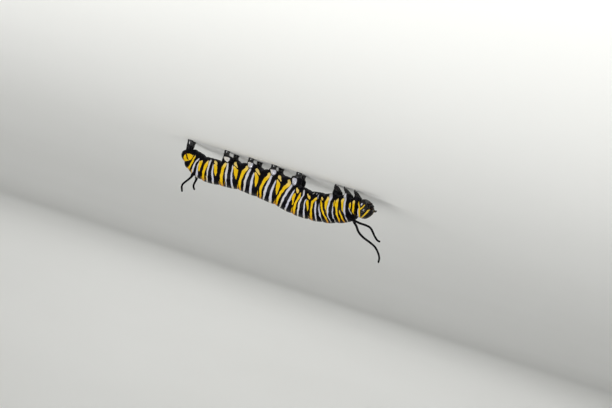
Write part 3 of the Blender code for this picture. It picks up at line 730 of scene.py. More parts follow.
# Each segment's bands, by its number from the tail end. A separate program converted most of these edges
# from typed readings when the camera's direction changed, and some were corrected after that.
MARKINGS: dict[int, list[Band]] = {
    12: [
        band(Y, (24, 0.19, 0.21), (32, 0.17, 0.26), (42, 0.13, 0.22), (50, 0.17, 0.22), (53, 0.20, 0.20)),
        band(Y, (46, 0.44, 0.46), (52, 0.38, 0.52), (58, 0.35, 0.53), (64, 0.33, 0.57), (69, 0.34, 0.61),
             (83, 0.34, 0.64), (98, 0.38, 0.64), (113, 0.41, 0.65), (123, 0.44, 0.66), (131, 0.49, 0.64),
             (137, 0.57, 0.57)),
        band(Y, (56, 0.12, 0.14), (62, 0.14, 0.20), (70, 0.19, 0.25), (77, 0.23, 0.27), (83, 0.27, 0.27)),
        band(W, (50, 0.75, 0.76), (54, 0.72, 0.80), (59, 0.70, 0.81), (64, 0.73, 0.84), (69, 0.80, 0.92),
             (75, 0.87, 0.99), (83, 0.93, 1.03), (90, 1.01, 1.05), (95, 1.03, 1.03)),
        band(Y, (77, 0.86, 0.86), (83, 0.83, 0.92), (90, 0.82, 1.00), (98, 0.81, 1.03), (105, 0.81, 1.03),
             (112, 0.84, 0.94), (116, 0.88, 0.88)),
    ],
    11: [
        band(W, (0, 0.23, 0.28), (22, 0.23, 0.29), (38, 0.23, 0.32), (52, 0.26, 0.34), (60, 0.27, 0.36),
             (75, 0.28, 0.42), (90, 0.28, 0.42), (105, 0.29, 0.43), (120, 0.27, 0.39), (128, 0.26, 0.43),
             (136, 0.29, 0.53), (150, 0.38, 0.61), (158, 0.44, 0.60), (163, 0.52, 0.52)),
        band(Y, (66, 0.37, 0.37), (74, 0.42, 0.47), (82, 0.44, 0.52), (90, 0.44, 0.57), (105, 0.45, 0.62),
             (112, 0.43, 0.64), (120, 0.40, 0.64), (126, 0.42, 0.57), (131, 0.47, 0.47)),
        band(Y, (0, 0.43, 0.50), (15, 0.41, 0.49), (30, 0.43, 0.52), (45, 0.47, 0.58), (60, 0.53, 0.63),
             (70, 0.57, 0.67), (76, 0.62, 0.68), (81, 0.66, 0.66)),
        band(Y, (0, 0.71, 0.75), (14, 0.68, 0.75), (26, 0.65, 0.76), (38, 0.65, 0.76), (52, 0.72, 0.83),
             (60, 0.76, 0.87), (75, 0.78, 0.92), (90, 0.80, 1.01), (97, 0.83, 1.05), (112, 0.84, 1.05),
             (120, 0.86, 1.00), (126, 0.92, 0.92)),
    ],
    10: [
        band(Y, (85, 0.10, 0.10), (90, 0.08, 0.13), (97, 0.07, 0.15), (105, 0.07, 0.15), (112, 0.09, 0.14),
             (116, 0.12, 0.12)),
        band(W, (0, -0.03, 0.03), (22, -0.05, 0.00), (30, -0.03, 0.03), (45, 0.02, 0.10), (60, 0.05, 0.14),
             (75, 0.08, 0.17), (85, 0.12, 0.18), (97, 0.16, 0.21), (107, 0.20, 0.20)),
        band(W, (0, 0.27, 0.33), (22, 0.22, 0.28), (34, 0.26, 0.34), (45, 0.36, 0.45), (60, 0.41, 0.50),
             (75, 0.42, 0.55), (90, 0.42, 0.55), (105, 0.39, 0.53), (112, 0.36, 0.52), (120, 0.33, 0.52),
             (128, 0.35, 0.57), (136, 0.38, 0.61), (150, 0.46, 0.67), (160, 0.50, 0.63), (166, 0.58, 0.58)),
        band(Y, (52, 0.52, 0.52), (60, 0.51, 0.56), (75, 0.55, 0.62), (82, 0.58, 0.69), (90, 0.56, 0.75),
             (97, 0.56, 0.78), (105, 0.55, 0.78), (112, 0.51, 0.75), (120, 0.51, 0.71), (127, 0.59, 0.69),
             (132, 0.64, 0.64)),
    ],
    9: [
        band(Y, (0, -0.50, -0.38), (22, -0.56, -0.42), (30, -0.54, -0.41), (45, -0.47, -0.30),
             (60, -0.30, -0.15), (75, -0.18, -0.03), (90, -0.07, 0.05), (105, 0.01, 0.12),
             (110, 0.06, 0.09), (113, 0.08, 0.08)),
        band(Y, (110, -0.06, -0.04), (115, -0.06, 0.11), (121, -0.03, 0.11), (126, 0.04, 0.04)),
        band(W, (0, -0.03, 0.04), (22, -0.07, 0.00), (38, -0.03, 0.05), (45, -0.02, 0.09),
             (60, 0.01, 0.12), (75, 0.06, 0.15), (85, 0.10, 0.17), (94, 0.13, 0.17), (99, 0.16, 0.16)),
        band(W, (0, 0.37, 0.46), (22, 0.31, 0.40), (45, 0.31, 0.42), (60, 0.31, 0.43), (75, 0.32, 0.45),
             (90, 0.33, 0.46), (97, 0.36, 0.45), (102, 0.41, 0.41)),
        band(W, (106, 0.35, 0.36), (112, 0.30, 0.36), (121, 0.31, 0.37), (130, 0.30, 0.36),
             (140, 0.32, 0.34)),
        band(Y, (0, 0.68, 0.86), (15, 0.64, 0.82), (30, 0.63, 0.80), (52, 0.61, 0.76), (75, 0.61, 0.73),
             (90, 0.58, 0.73), (97, 0.49, 0.73), (104, 0.39, 0.64), (111, 0.37, 0.55), (117, 0.44, 0.44)),
        band(Y, (0, 0.92, 0.99), (22, 0.86, 0.91), (40, 0.85, 0.87), (44, 0.85, 0.85)),
        band(W, (131, 0.45, 0.47), (135, 0.44, 0.51), (140, 0.45, 0.51), (146, 0.48, 0.49)),
        band(W, (127, 0.69, 0.71), (135, 0.69, 0.77), (142, 0.61, 0.70), (149, 0.65, 0.67)),
    ],
    8: [
        band(W, (0, 0.20, 0.29), (30, 0.12, 0.23), (45, 0.12, 0.23), (60, 0.12, 0.22), (75, 0.13, 0.22),
             (90, 0.12, 0.21), (98, 0.08, 0.17), (104, 0.11, 0.11)),
        band(W, (0, 0.58, 0.66), (22, 0.51, 0.60), (45, 0.49, 0.59), (60, 0.47, 0.58), (75, 0.47, 0.59),
             (90, 0.45, 0.59), (97, 0.43, 0.55), (105, 0.37, 0.46), (112, 0.35, 0.49), (122, 0.37, 0.55),
             (134, 0.46, 0.61), (141, 0.56, 0.56)),
        band(Y, (0, 0.80, 0.93), (30, 0.71, 0.85), (45, 0.70, 0.85), (60, 0.70, 0.84), (75, 0.70, 0.84),
             (90, 0.65, 0.80), (97, 0.57, 0.79), (106, 0.59, 0.75), (114, 0.65, 0.72), (118, 0.69, 0.69)),
        band(Y, (0, 0.97, 1.04), (30, 0.89, 0.96), (52, 0.88, 0.92), (58, 0.89, 0.89)),
        band(Y, (54, -0.05, -0.05), (60, -0.10, -0.04), (68, -0.12, 0.00), (75, -0.13, 0.03),
             (82, -0.12, 0.05), (90, -0.11, 0.08), (96, -0.04, 0.09), (101, 0.04, 0.04)),
        band(Y, (101, -0.13, -0.08), (105, -0.16, 0.00), (110, -0.17, 0.06), (115, -0.15, 0.12),
             (120, -0.09, 0.13), (125, 0.02, 0.11), (128, 0.08, 0.08)),
    ],
    7: [
        band(W, (0, 0.30, 0.40), (22, 0.24, 0.34), (45, 0.17, 0.28), (60, 0.14, 0.25), (75, 0.13, 0.24),
             (90, 0.11, 0.21), (105, 0.11, 0.19), (114, 0.13, 0.16), (120, 0.15, 0.15)),
        band(W, (0, 0.65, 0.73), (22, 0.58, 0.66), (45, 0.50, 0.59), (60, 0.46, 0.58), (75, 0.43, 0.55),
             (90, 0.39, 0.52), (105, 0.35, 0.48), (118, 0.33, 0.44), (128, 0.36, 0.44), (134, 0.41, 0.41)),
        band(Y, (0, 0.85, 0.97), (22, 0.78, 0.91), (38, 0.75, 0.87), (52, 0.73, 0.86), (64, 0.71, 0.85),
             (75, 0.68, 0.81), (90, 0.62, 0.76), (100, 0.55, 0.73), (108, 0.49, 0.70), (116, 0.45, 0.65),
             (123, 0.45, 0.62), (131, 0.48, 0.66), (139, 0.54, 0.70), (146, 0.63, 0.63)),
        band(Y, (0, 1.00, 1.07), (22, 0.94, 1.01), (38, 0.91, 0.96), (52, 0.90, 0.91), (56, 0.89, 0.89)),
        band(Y, (59, -0.06, -0.06), (66, -0.11, -0.01), (75, -0.11, 0.03), (82, -0.08, 0.07),
             (90, -0.06, 0.10), (98, -0.05, 0.10), (104, 0.03, 0.03)),
        band(Y, (107, -0.10, -0.04), (112, -0.15, 0.02), (118, -0.13, 0.09), (124, -0.07, 0.12),
             (129, 0.01, 0.11), (133, 0.07, 0.07)),
    ],
    6: [
        band(Y, (66, -0.09, -0.08), (70, -0.11, -0.04), (75, -0.12, -0.01), (82, -0.13, 0.02),
             (90, -0.13, 0.05), (98, -0.11, 0.09), (104, -0.08, 0.12), (108, -0.03, 0.14),
             (112, 0.06, 0.15), (117, 0.13, 0.14)),
        band(Y, (114, -0.06, -0.04), (117, -0.07, 0.02), (121, -0.04, 0.13), (127, 0.01, 0.18),
             (134, 0.05, 0.20), (140, 0.10, 0.19), (144, 0.16, 0.16)),
        band(W, (0, 0.17, 0.32), (15, 0.13, 0.28), (30, 0.10, 0.25), (45, 0.11, 0.25), (60, 0.12, 0.24),
             (75, 0.13, 0.25), (90, 0.13, 0.23), (105, 0.15, 0.21), (112, 0.18, 0.20), (116, 0.19, 0.19)),
        band(W, (0, 0.56, 0.63), (15, 0.52, 0.59), (30, 0.48, 0.56), (45, 0.44, 0.55), (60, 0.43, 0.56),
             (75, 0.42, 0.54), (90, 0.40, 0.52), (105, 0.39, 0.50), (120, 0.40, 0.50), (128, 0.43, 0.49),
             (134, 0.47, 0.47)),
        band(Y, (0, 0.72, 0.83), (15, 0.68, 0.79), (30, 0.65, 0.76), (45, 0.65, 0.76), (60, 0.67, 0.79),
             (75, 0.65, 0.78), (90, 0.62, 0.76), (98, 0.56, 0.73), (105, 0.52, 0.71), (112, 0.50, 0.67),
             (120, 0.50, 0.64), (130, 0.54, 0.67), (138, 0.61, 0.61)),
        band(Y, (0, 0.90, 0.96), (22, 0.84, 0.90), (38, 0.83, 0.88), (52, 0.84, 0.87), (56, 0.85, 0.85)),
    ],
    5: [
        band(Y, (62, 0.00, 0.00), (68, -0.02, 0.04), (75, -0.03, 0.07), (82, -0.04, 0.09),
             (90, -0.04, 0.10), (98, -0.03, 0.15), (104, -0.01, 0.19), (108, 0.02, 0.21),
             (112, 0.10, 0.22), (117, 0.18, 0.21)),
        band(Y, (113, -0.02, 0.00), (117, -0.03, 0.09), (121, 0.00, 0.19), (127, 0.05, 0.24),
             (133, 0.10, 0.25), (139, 0.15, 0.24), (144, 0.21, 0.21)),
        band(W, (0, 0.24, 0.36), (15, 0.20, 0.32), (30, 0.17, 0.30), (45, 0.16, 0.29), (60, 0.16, 0.28),
             (75, 0.17, 0.29), (90, 0.18, 0.28), (105, 0.20, 0.27), (112, 0.22, 0.26), (118, 0.24, 0.24)),
        band(W, (0, 0.62, 0.69), (15, 0.58, 0.65), (30, 0.53, 0.62), (45, 0.49, 0.59), (60, 0.48, 0.59),
             (75, 0.47, 0.59), (90, 0.45, 0.57), (100, 0.43, 0.54), (110, 0.42, 0.52), (120, 0.40, 0.50),
             (128, 0.43, 0.49), (134, 0.47, 0.47)),
        band(Y, (0, 0.80, 0.92), (15, 0.77, 0.88), (30, 0.74, 0.86), (45, 0.73, 0.86), (60, 0.73, 0.87),
             (75, 0.71, 0.84), (90, 0.67, 0.81), (98, 0.62, 0.79), (105, 0.59, 0.78), (112, 0.55, 0.73),
             (120, 0.53, 0.68), (130, 0.56, 0.69), (138, 0.64, 0.64)),
        band(Y, (0, 0.96, 1.03), (22, 0.91, 0.97), (38, 0.89, 0.94), (52, 0.90, 0.91), (56, 0.90, 0.90)),
    ],
    4: [
        band(Y, (63, 0.02, 0.02), (68, 0.00, 0.04), (75, -0.01, 0.06), (82, -0.03, 0.09),
             (90, -0.04, 0.14), (98, -0.02, 0.18), (104, 0.00, 0.22), (108, 0.05, 0.24), (112, 0.12, 0.24),
             (117, 0.20, 0.22)),
        band(Y, (113, 0.03, 0.04), (117, 0.03, 0.12), (121, 0.06, 0.21), (127, 0.09, 0.24),
             (134, 0.13, 0.26), (142, 0.16, 0.27), (150, 0.19, 0.26), (156, 0.24, 0.24)),
        band(W, (0, 0.19, 0.31), (20, 0.14, 0.26), (32, 0.16, 0.26), (45, 0.17, 0.26), (60, 0.18, 0.27),
             (75, 0.19, 0.28), (90, 0.20, 0.28), (105, 0.22, 0.29), (120, 0.25, 0.29), (126, 0.28, 0.28)),
        band(W, (0, 0.57, 0.62), (15, 0.52, 0.57), (30, 0.49, 0.54), (45, 0.48, 0.54), (60, 0.48, 0.55),
             (75, 0.45, 0.57), (90, 0.45, 0.57), (105, 0.46, 0.56), (120, 0.47, 0.57), (130, 0.50, 0.62),
             (137, 0.57, 0.57)),
        band(Y, (0, 0.74, 0.90), (15, 0.69, 0.86), (30, 0.68, 0.83), (45, 0.68, 0.85), (60, 0.67, 0.83),
             (75, 0.67, 0.82), (90, 0.65, 0.80), (105, 0.63, 0.79), (112, 0.60, 0.76), (120, 0.57, 0.74),
             (130, 0.59, 0.73), (138, 0.66, 0.66)),
        band(Y, (0, 0.93, 1.00), (22, 0.88, 0.94), (36, 0.87, 0.92), (44, 0.88, 0.88)),
        band(Y, (20, 0.62, 0.63), (32, 0.58, 0.61), (45, 0.57, 0.60), (58, 0.58, 0.59)),
    ],
    3: [
        band(Y, (66, 0.06, 0.07), (70, 0.04, 0.10), (75, 0.03, 0.12), (82, 0.01, 0.15), (90, 0.01, 0.18),
             (98, 0.02, 0.21), (105, 0.04, 0.24), (110, 0.07, 0.25), (114, 0.15, 0.24), (117, 0.21, 0.21)),
        band(Y, (112, 0.07, 0.08), (117, 0.07, 0.18), (122, 0.08, 0.25), (130, 0.11, 0.28),
             (138, 0.16, 0.28), (143, 0.20, 0.26), (148, 0.25, 0.25)),
        band(W, (0, 0.26, 0.36), (15, 0.22, 0.32), (30, 0.19, 0.30), (45, 0.18, 0.29), (60, 0.18, 0.28),
             (75, 0.20, 0.30), (90, 0.22, 0.31), (103, 0.24, 0.31), (115, 0.27, 0.30), (121, 0.29, 0.29)),
        band(W, (0, 0.62, 0.68), (15, 0.58, 0.64), (30, 0.54, 0.60), (45, 0.51, 0.58), (60, 0.50, 0.57),
             (75, 0.49, 0.58), (90, 0.49, 0.59), (105, 0.47, 0.58), (120, 0.44, 0.57), (135, 0.44, 0.56),
             (142, 0.50, 0.50)),
        band(Y, (0, 0.79, 0.95), (15, 0.75, 0.91), (30, 0.72, 0.88), (45, 0.71, 0.86), (60, 0.71, 0.85),
             (75, 0.70, 0.86), (90, 0.65, 0.83), (105, 0.59, 0.79), (112, 0.59, 0.75), (120, 0.59, 0.69),
             (128, 0.64, 0.64)),
        band(Y, (0, 0.98, 1.04), (22, 0.92, 0.98), (36, 0.90, 0.96), (46, 0.91, 0.91)),
        band(Y, (22, 0.63, 0.64), (34, 0.59, 0.63), (50, 0.57, 0.61), (64, 0.58, 0.60)),
    ],
    2: [
        band(W, (0, 0.23, 0.35), (22, 0.19, 0.32), (45, 0.13, 0.28), (60, 0.15, 0.26), (75, 0.19, 0.27),
             (90, 0.20, 0.26), (105, 0.20, 0.24), (112, 0.22, 0.22)),
        band(W, (0, 0.55, 0.59), (22, 0.50, 0.55), (45, 0.45, 0.55), (60, 0.43, 0.55), (75, 0.42, 0.54),
             (88, 0.42, 0.52), (97, 0.38, 0.48), (105, 0.32, 0.44), (112, 0.28, 0.36), (118, 0.31, 0.31)),
        band(Y, (0, 0.56, 0.68), (15, 0.54, 0.65), (30, 0.54, 0.61), (45, 0.54, 0.58), (55, 0.55, 0.56)),
        band(Y, (63, 0.10, 0.10), (68, 0.06, 0.13), (75, 0.04, 0.16), (90, 0.03, 0.21), (105, 0.00, 0.23),
             (112, 0.00, 0.11), (119, 0.05, 0.05)),
        band(Y, (0, 0.84, 1.12), (22, 0.77, 1.03), (38, 0.73, 0.92), (52, 0.70, 0.84), (60, 0.69, 0.82),
             (75, 0.65, 0.78), (90, 0.62, 0.77), (105, 0.62, 0.76), (112, 0.66, 0.76), (118, 0.71, 0.71)),
    ],
    1: [
        band(Y, (0, 1.16, 1.28), (30, 0.86, 1.19), (40, 0.68, 1.19), (50, 0.50, 1.21), (60, 0.31, 1.24),
             (71, 0.13, 1.27), (78, 0.01, 1.27), (85, -0.10, 1.22), (91, -0.14, 1.12), (97, -0.15, 1.00),
             (102, -0.14, 0.50), (107, -0.12, 0.04), (113, -0.10, -0.06)),
        band(B, (72, 0.34, 0.60), (75, 0.06, 0.95), (81, 0.04, 1.13), (84, 0.62, 1.22), (88, 0.96, 1.34),
             (92, 1.12, 1.42), (97, 1.32, 1.42)),
    ],
}


def paint_trunk(turn: Array, angle: Array, per_turn: Array, points: Array) -> dict[Pigment, Array]:
    """How deep each place of the trunk lies in each pigment.

    Args:
        turn: Where along the body.
        angle: Where round it, in radians.
        per_turn: Millimetres for each turn there.
        points: The places themselves, for irregular edges.

    Returns:
        Millimetres inside each pigment's bands, negative outside.
    """
    degrees = np.abs(np.degrees(angle)) + 1.6 * soft_noise(points, 1.1, 3)
    drift = 0.040 * soft_noise(points, 1.3, 1) + 0.020 * soft_noise(points, 0.45, 2)
    depths = {pigment: np.full(len(turn), -1.0) for pigment in Pigment}
    for number, bands in MARKINGS.items():
        share = number + 1 - turn
        near = np.nonzero((share > -0.75) & (share < 1.75))[0]
        for one in bands:
            inside = one.depth(share[near] + drift[near] / per_turn[near], degrees[near], per_turn[near])
            depths[one.pigment][near] = np.maximum(depths[one.pigment][near], inside)
    return depths


# ---------------------------------------------------------------- limbs and filaments


@dataclass(frozen=True)
class Proleg:
    """A fleshy leg of the abdomen: a swollen base, a short shaft and a flared foot."""

    name: str
    foot: tuple[float, float]
    seat: tuple[float, float]
    slices: tuple[tuple[float, float, float, float], ...]
    patch: tuple[float, float, float, float] | None = None
    # How far from the midline the patch starts.
    patch_from: float = 1.35

    def rings(self, sides: int = 40) -> Array:
        """Level rings from inside the trunk down to just under the floor.

        Args:
            sides: Points round each ring.

        Returns:
            An array of rings by points by three.
        """
        knots = np.array(self.slices)
        rows = through(knots, np.linspace(0, len(knots) - 1, 8 * len(knots)))
        station = self.foot[0] + (self.seat[0] - self.foot[0]) * rows[:, 1]
        right = self.foot[1] + (self.seat[1] - self.foot[1]) * rows[:, 1]
        return level_rings(TRUNK.place(station, right, rows[:, 0]), rows[:, 2:4], sides)

    def white_depth(self, points: Array) -> Array:
        """How far inside the white patch on the outer side of the base each point lies.

        Args:
            points: Places in millimetres.

        Returns:
            Millimetres, negative outside.
        """
        if self.patch is None:
            return np.full(len(points), -1.0)
        station, height, half_length, half_height = self.patch
        along = (TRUNK.station_zero - points[:, 0] - station) / half_length
        up = (points[:, 2] - height) / half_height
        along = (along - 0.20 * up) / (0.84 - 0.32 * up)
        reach = (np.abs(along) ** 3.2 + np.abs(up) ** 3.2) ** (1 / 3.2)
        reach = reach + 0.05 * soft_noise(points, 0.8, 31)
        outward = (points[:, 1] - TRUNK.shift_right) * np.sign(self.foot[1]) - self.patch_from
        inside = (1 - reach) * min(half_length, half_height)
        return np.where(outward > 0, inside, np.minimum(inside, outward * 0.5))


def make_prolegs() -> list[Proleg]:
    """The four pairs in mid body and the anal pair.

    Returns:
        The prolegs of the left side, then those of the right.
    """
    middle = (
        (2.70, 1.00, 1.20, 0.62),
        (1.70, 1.00, 1.24, 0.70),
        (1.16, 0.95, 1.16, 0.70),
        (0.98, 0.60, 0.97, 0.69),
        (0.82, 0.10, 0.67, 0.61),
        (0.45, 0.00, 0.59, 0.55),
        (0.12, 0.00, 0.66, 0.62),
        (-0.06, 0.00, 0.60, 0.57),
    )
    anal = (
        (2.40, 1.00, 0.50, 0.40),
        (1.60, 1.00, 0.56, 0.46),
        (1.20, 0.80, 0.60, 0.52),
        (0.85, 0.45, 0.58, 0.54),
        (0.45, 0.10, 0.54, 0.52),
        (0.12, 0.00, 0.63, 0.61),
        (-0.06, 0.00, 0.58, 0.56),
    )
    # The left foot's station, the base's lead, how much further forward the right foot stands, and the white
    # patch: station, height, half length, half height.
    feet = {
        6: (7.63, 0.65, 1.10, (8.19, 1.76, 0.72, 0.44)),
        5: (13.10, 0.57, 0.95, (13.43, 1.53, 0.63, 0.57)),
        4: (18.23, 0.31, 0.70, (18.61, 1.57, 0.68, 0.58)),
        3: (23.85, -0.15, 0.00, (23.54, 2.14, 0.57, 0.75)),
    }
    legs = []
    for side, word in ((-1, "left"), (1, "right")):
        for number, (station, lead, ahead, patch) in feet.items():
            ahead = ahead if side > 0 else 0.0
            foot, seat = (station + ahead, side * 1.68), (station + lead + 0.6 * ahead, side * 1.55)
            patch = (patch[0] + 0.6 * ahead, *patch[1:])
            legs.append(Proleg(f"proleg_{number}_{word}", foot, seat, middle, patch))
        legs.append(Proleg(f"anal_proleg_{word}", (-1.00, side * 1.05), (-0.95, side * 0.72), anal))
    return legs


@dataclass(frozen=True)
class Filament:
    """A soft black feeler that stands on the side of the back."""

    name: str
    turn: float
    angle: float
    course: tuple[tuple[float, float, float], ...]
    radii: tuple[float, float, float]

    def line(self, steps: int = 90) -> tuple[Array, Array]:
        """The filament's middle line, from inside the trunk to the tip.

        Args:
            steps: How many points it has.

        Returns:
            The points, and the radius at each.
        """
        turn, angle = np.array([self.turn]), np.array([math.radians(self.angle)])
        foot, _, _, out = TRUNK.lies(turn, angle)
        knots = [foot[0] - out[0] * 0.30, foot[0] + out[0] * 0.16, foot[0] + out[0] * 0.50]
        knots += [TRUNK.place(*map(np.float64, point)) for point in self.course]
        points = through(np.array(knots), np.linspace(0, len(knots) - 1, steps))
        run = np.concatenate([[0.0], np.cumsum(np.linalg.norm(np.diff(points, axis=0), axis=1))])
        base, shaft, tip = self.radii
        radii = shaft + (base - shaft) * np.exp(-((run / 0.95) ** 2))
        share = run / run[-1]
        radii = radii * (1 - (1 - tip / shaft) * share**1.5)
        left = run[-1] - run
        radii = radii * np.sqrt(np.clip(1 - (1 - np.clip(left / 0.22, 0, 1)) ** 2, 0.02, 1))
        return points, radii


def make_filaments() -> list[Filament]:
    """The long pair behind the head and the short pair before the tail.

    Returns:
        The four filaments.
    """
    front, rear = (0.46, 0.265, 0.215), (0.44, 0.25, 0.21)
    # Each course runs outwards: station, distance right of the midline, height.
    front_left = (
        (37.25, -2.95, 6.2), (38.7, -3.6, 6.31), (40.11, -4.4, 6.53), (41.65, -5.3, 6.64),
        (42.97, -6.1, 7.01), (44.4, -6.9, 8.3), (45.34, -7.4, 9), (46.13, -7.7, 9.16),
    )
    front_right = (
        (37.25, 2.1, 6.25), (37.85, 1.95, 6.75), (38.75, 2.1, 7.85), (40.09, 2.1, 8.62), (41.53, 2.1, 9.12),
        (42.89, 2, 9.7), (43.92, 2, 10.64), (44.55, 2, 11.63), (44.68, 2, 12.72),
    )
    rear_left = (
        (1.98, -1.8, 7.34), (1.79, -2.0, 7.82), (1.4, -2.25, 8.53), (0.98, -2.5, 9.3),
        (0.97, -2.72, 9.92), (1.21, -2.82, 10.5), (1.48, -2.85, 11.05),
    )
    rear_right = (
        (1.98, 1.75, 7.3), (1.83, 1.9, 7.95), (1.7, 2.08, 8.55), (1.8, 2.3, 9.06), (2.11, 2.55, 9.52),
    )
    return [
        Filament("front_filament_left", 11.84, 52.0, front_left, front),
        Filament("front_filament_right", 11.84, -52.0, front_right, front),
        Filament("rear_filament_left", 2.60, 32.0, rear_left, rear),
        Filament("rear_filament_right", 2.60, -32.0, rear_right, rear),
    ]


# ---------------------------------------------------------------- the skin


@dataclass
class Skin:
    """One unbroken skin over the trunk, the prolegs and the filaments."""

    prolegs: list[Proleg]
    filaments: list[Filament]
    voxel: float = 0.105
    sides: int = 120
    rows_per_turn: int = 30
    # Creases between the rings of a segment, as shares of it from the front, with their depths.
    creases: tuple[tuple[float, float], ...] = (
        (0.07, 0.030),
        (0.17, 0.045),
        (0.30, 0.030),
        (0.46, 0.050),
        (0.58, 0.045),
        (0.73, 0.045),
        (0.86, 0.035),
        (0.94, 0.025),
    )
    crease_width: float = 0.055
    fold_depth: float = 0.10
    fold_width: float = 0.11
    # The rounded end inside the head: each ring's distance ahead of the neck and its share of the neck.
    collar: tuple[tuple[float, float], ...] = (
        (0.12, 0.96),
        (0.24, 0.90),
        (0.38, 0.82),
        (0.52, 0.72),
        (0.62, 0.58),
        (0.66, 0.35),
    )
    # The breathing holes: degrees down the side, half length, half height, and millimetres to a degree there.
    hole_degrees: float = 98.0
    hole_half_length: float = 0.17
    hole_half_height: float = 0.26
    mm_per_degree: float = 0.047

    def raw(self) -> bpy.types.Object:
        """Makes the overlapping closed shapes that the skin grows over.

        Returns:
            One object that holds them all.
        """
        parts = Pieces()
        turns = np.concatenate([[0.003, 0.012, 0.03], np.linspace(0.06, TURNS, self.rows_per_turn * TURNS)])
        grid_turn, grid_angle = np.meshgrid(turns, circle(self.sides), indexing="ij")
        rings = TRUNK.point(grid_turn.ravel(), grid_angle.ravel()).reshape(len(turns), self.sides, 3)
        neck, _, _, _, forward = TRUNK.slices(np.array([float(TURNS)]))
        collar = [
            neck[0] + (rings[-1] - neck[0]) * scale + forward[0] * ahead for ahead, scale in self.collar
        ]
        parts.add_rings(np.concatenate([rings, np.array(collar)]))
        for leg in self.prolegs:
            parts.add_rings(leg.rings())
        for filament in self.filaments:
            parts.add_tube(*filament.line(), sides=20)
        for leg in make_true_legs():
            parts.add_rings(leg.socket_rings())
        return parts.build("skin")

    def grow(self) -> bpy.types.Object:
        """Joins the shapes into one closed mesh of even quads.

        Returns:
            The skin's object, still without creases or marks.
        """
        piece = self.raw()
        remesh = piece.modifiers.new("join", "REMESH")
        remesh.mode = "VOXEL"
        remesh.voxel_size = self.voxel
        smooth = piece.modifiers.new("ease", "SMOOTH")
        smooth.factor = 0.5
        smooth.iterations = 3
        bpy.context.view_layer.update()
        joined = bpy.data.meshes.new_from_object(piece.evaluated_get(bpy.context.evaluated_depsgraph_get()))
        piece.modifiers.clear()
        old = piece.data
        piece.data = joined
        bpy.data.meshes.remove(old)
        joined.name = "skin"
        joined.shade_smooth()
        return piece

    def relief(self, turn: Array, angle: Array, points: Array) -> Array:
        """How far the skin's creases and swellings stand out, in millimetres.

        Args:
            turn: Where along the body.
            angle: Where round it, in radians.
            points: The places themselves.

        Returns:
            Millimetres outwards.
        """
        degrees = np.abs(np.degrees(angle))
        share = np.ceil(turn) - turn
        segment = np.ceil(turn) - 1
        waver = 0.012 * soft_noise(points, 1.4, 5) + 0.006 * soft_noise(points, 0.5, 6)
        strength = 1 + 0.45 * soft_noise(points, 1.2, 7)
        middle = smoothstep(2.0, 3.2, turn) * (0.55 + 0.45 * smoothstep(160, 120, degrees))
        height = np.zeros(len(turn))
        length = np.where(segment > 8, 2.9, 4.2)
        for place, depth in self.creases:
            shift = 0.018 * np.sin(segment * 2.3 + place * 9)
            reach = (share - place - shift - waver) * length
            height -= depth * np.exp(-((reach / self.crease_width) ** 2)) * middle * strength
        edge = np.minimum(share, 1 - share) * length
        height -= self.fold_depth * np.exp(-((edge / self.fold_width) ** 2)) * smoothstep(0.6, 1.5, turn)
        # A soft ridge under the breathing holes, and a puckered belly.
        ridge = np.exp(-(((degrees - 122) / 9) ** 2)) - 0.8 * np.exp(-(((degrees - 108) / 5) ** 2))
        height += 0.055 * ridge * np.sin(math.pi * share) * smoothstep(1.5, 3.0, turn)
        # Breathing holes: an oval rim round a pit, on the first segment and on eight of the abdomen.
        centre = np.where(segment == 12, 0.72, 0.33)
        down = (degrees - self.hole_degrees) * self.mm_per_degree / self.hole_half_height
        oval = np.hypot((share - centre) * length / self.hole_half_length, down)
        holes = np.where((segment == 12) | ((segment < 10) & (segment > 1)), 1.0, 0.0)
        height += holes * (0.05 * np.exp(-(((oval - 1) / 0.38) ** 2)) - 0.08 * np.exp(-((oval / 0.55) ** 2)))
        belly = smoothstep(128, 150, degrees)
        height += belly * 0.035 * soft_noise(points, 0.55, 8)
        height += 0.022 * soft_noise(points, 1.6, 9) + 0.006 * soft_noise(points, 0.35, 10)
        return height - 0.02

    def build(self, material: bpy.types.Material) -> None:
        """Makes, creases, marks and dresses the skin.

        Args:
            material: The cuticle.
        """
        piece = self.grow()
        mesh = piece.data
        points = coordinates(mesh)
        turn, angle, out = TRUNK.locate(points)
        here, along, _, normal = TRUNK.lies(turn, angle)
        limb = smoothstep(0.05, 0.22, out)
        settled = here * (1 - limb)[:, None] + points * limb[:, None]
        lift = self.relief(turn, angle, points) * (1 - 0.85 * limb)
        settled = settled + normal * lift[:, None]
        settled[:, 2] = np.maximum(settled[:, 2], 0.0)
        move_points(mesh, settled)
        self.mark(mesh, settled, turn, angle, np.linalg.norm(along, axis=-1), limb)
        nodes = [f"abdomen_{number}" for number in range(1, 11)] + ["metathorax", "mesothorax", "prothorax"]
        nodes += [leg.name for leg in self.prolegs]
        nodes += [f"front_filament_{word}_{part}" for word in ("left", "right") for part in (1, 2)]
        nodes += ["rear_filament_left", "rear_filament_right"]
        finish_piece(piece, material, nodes)

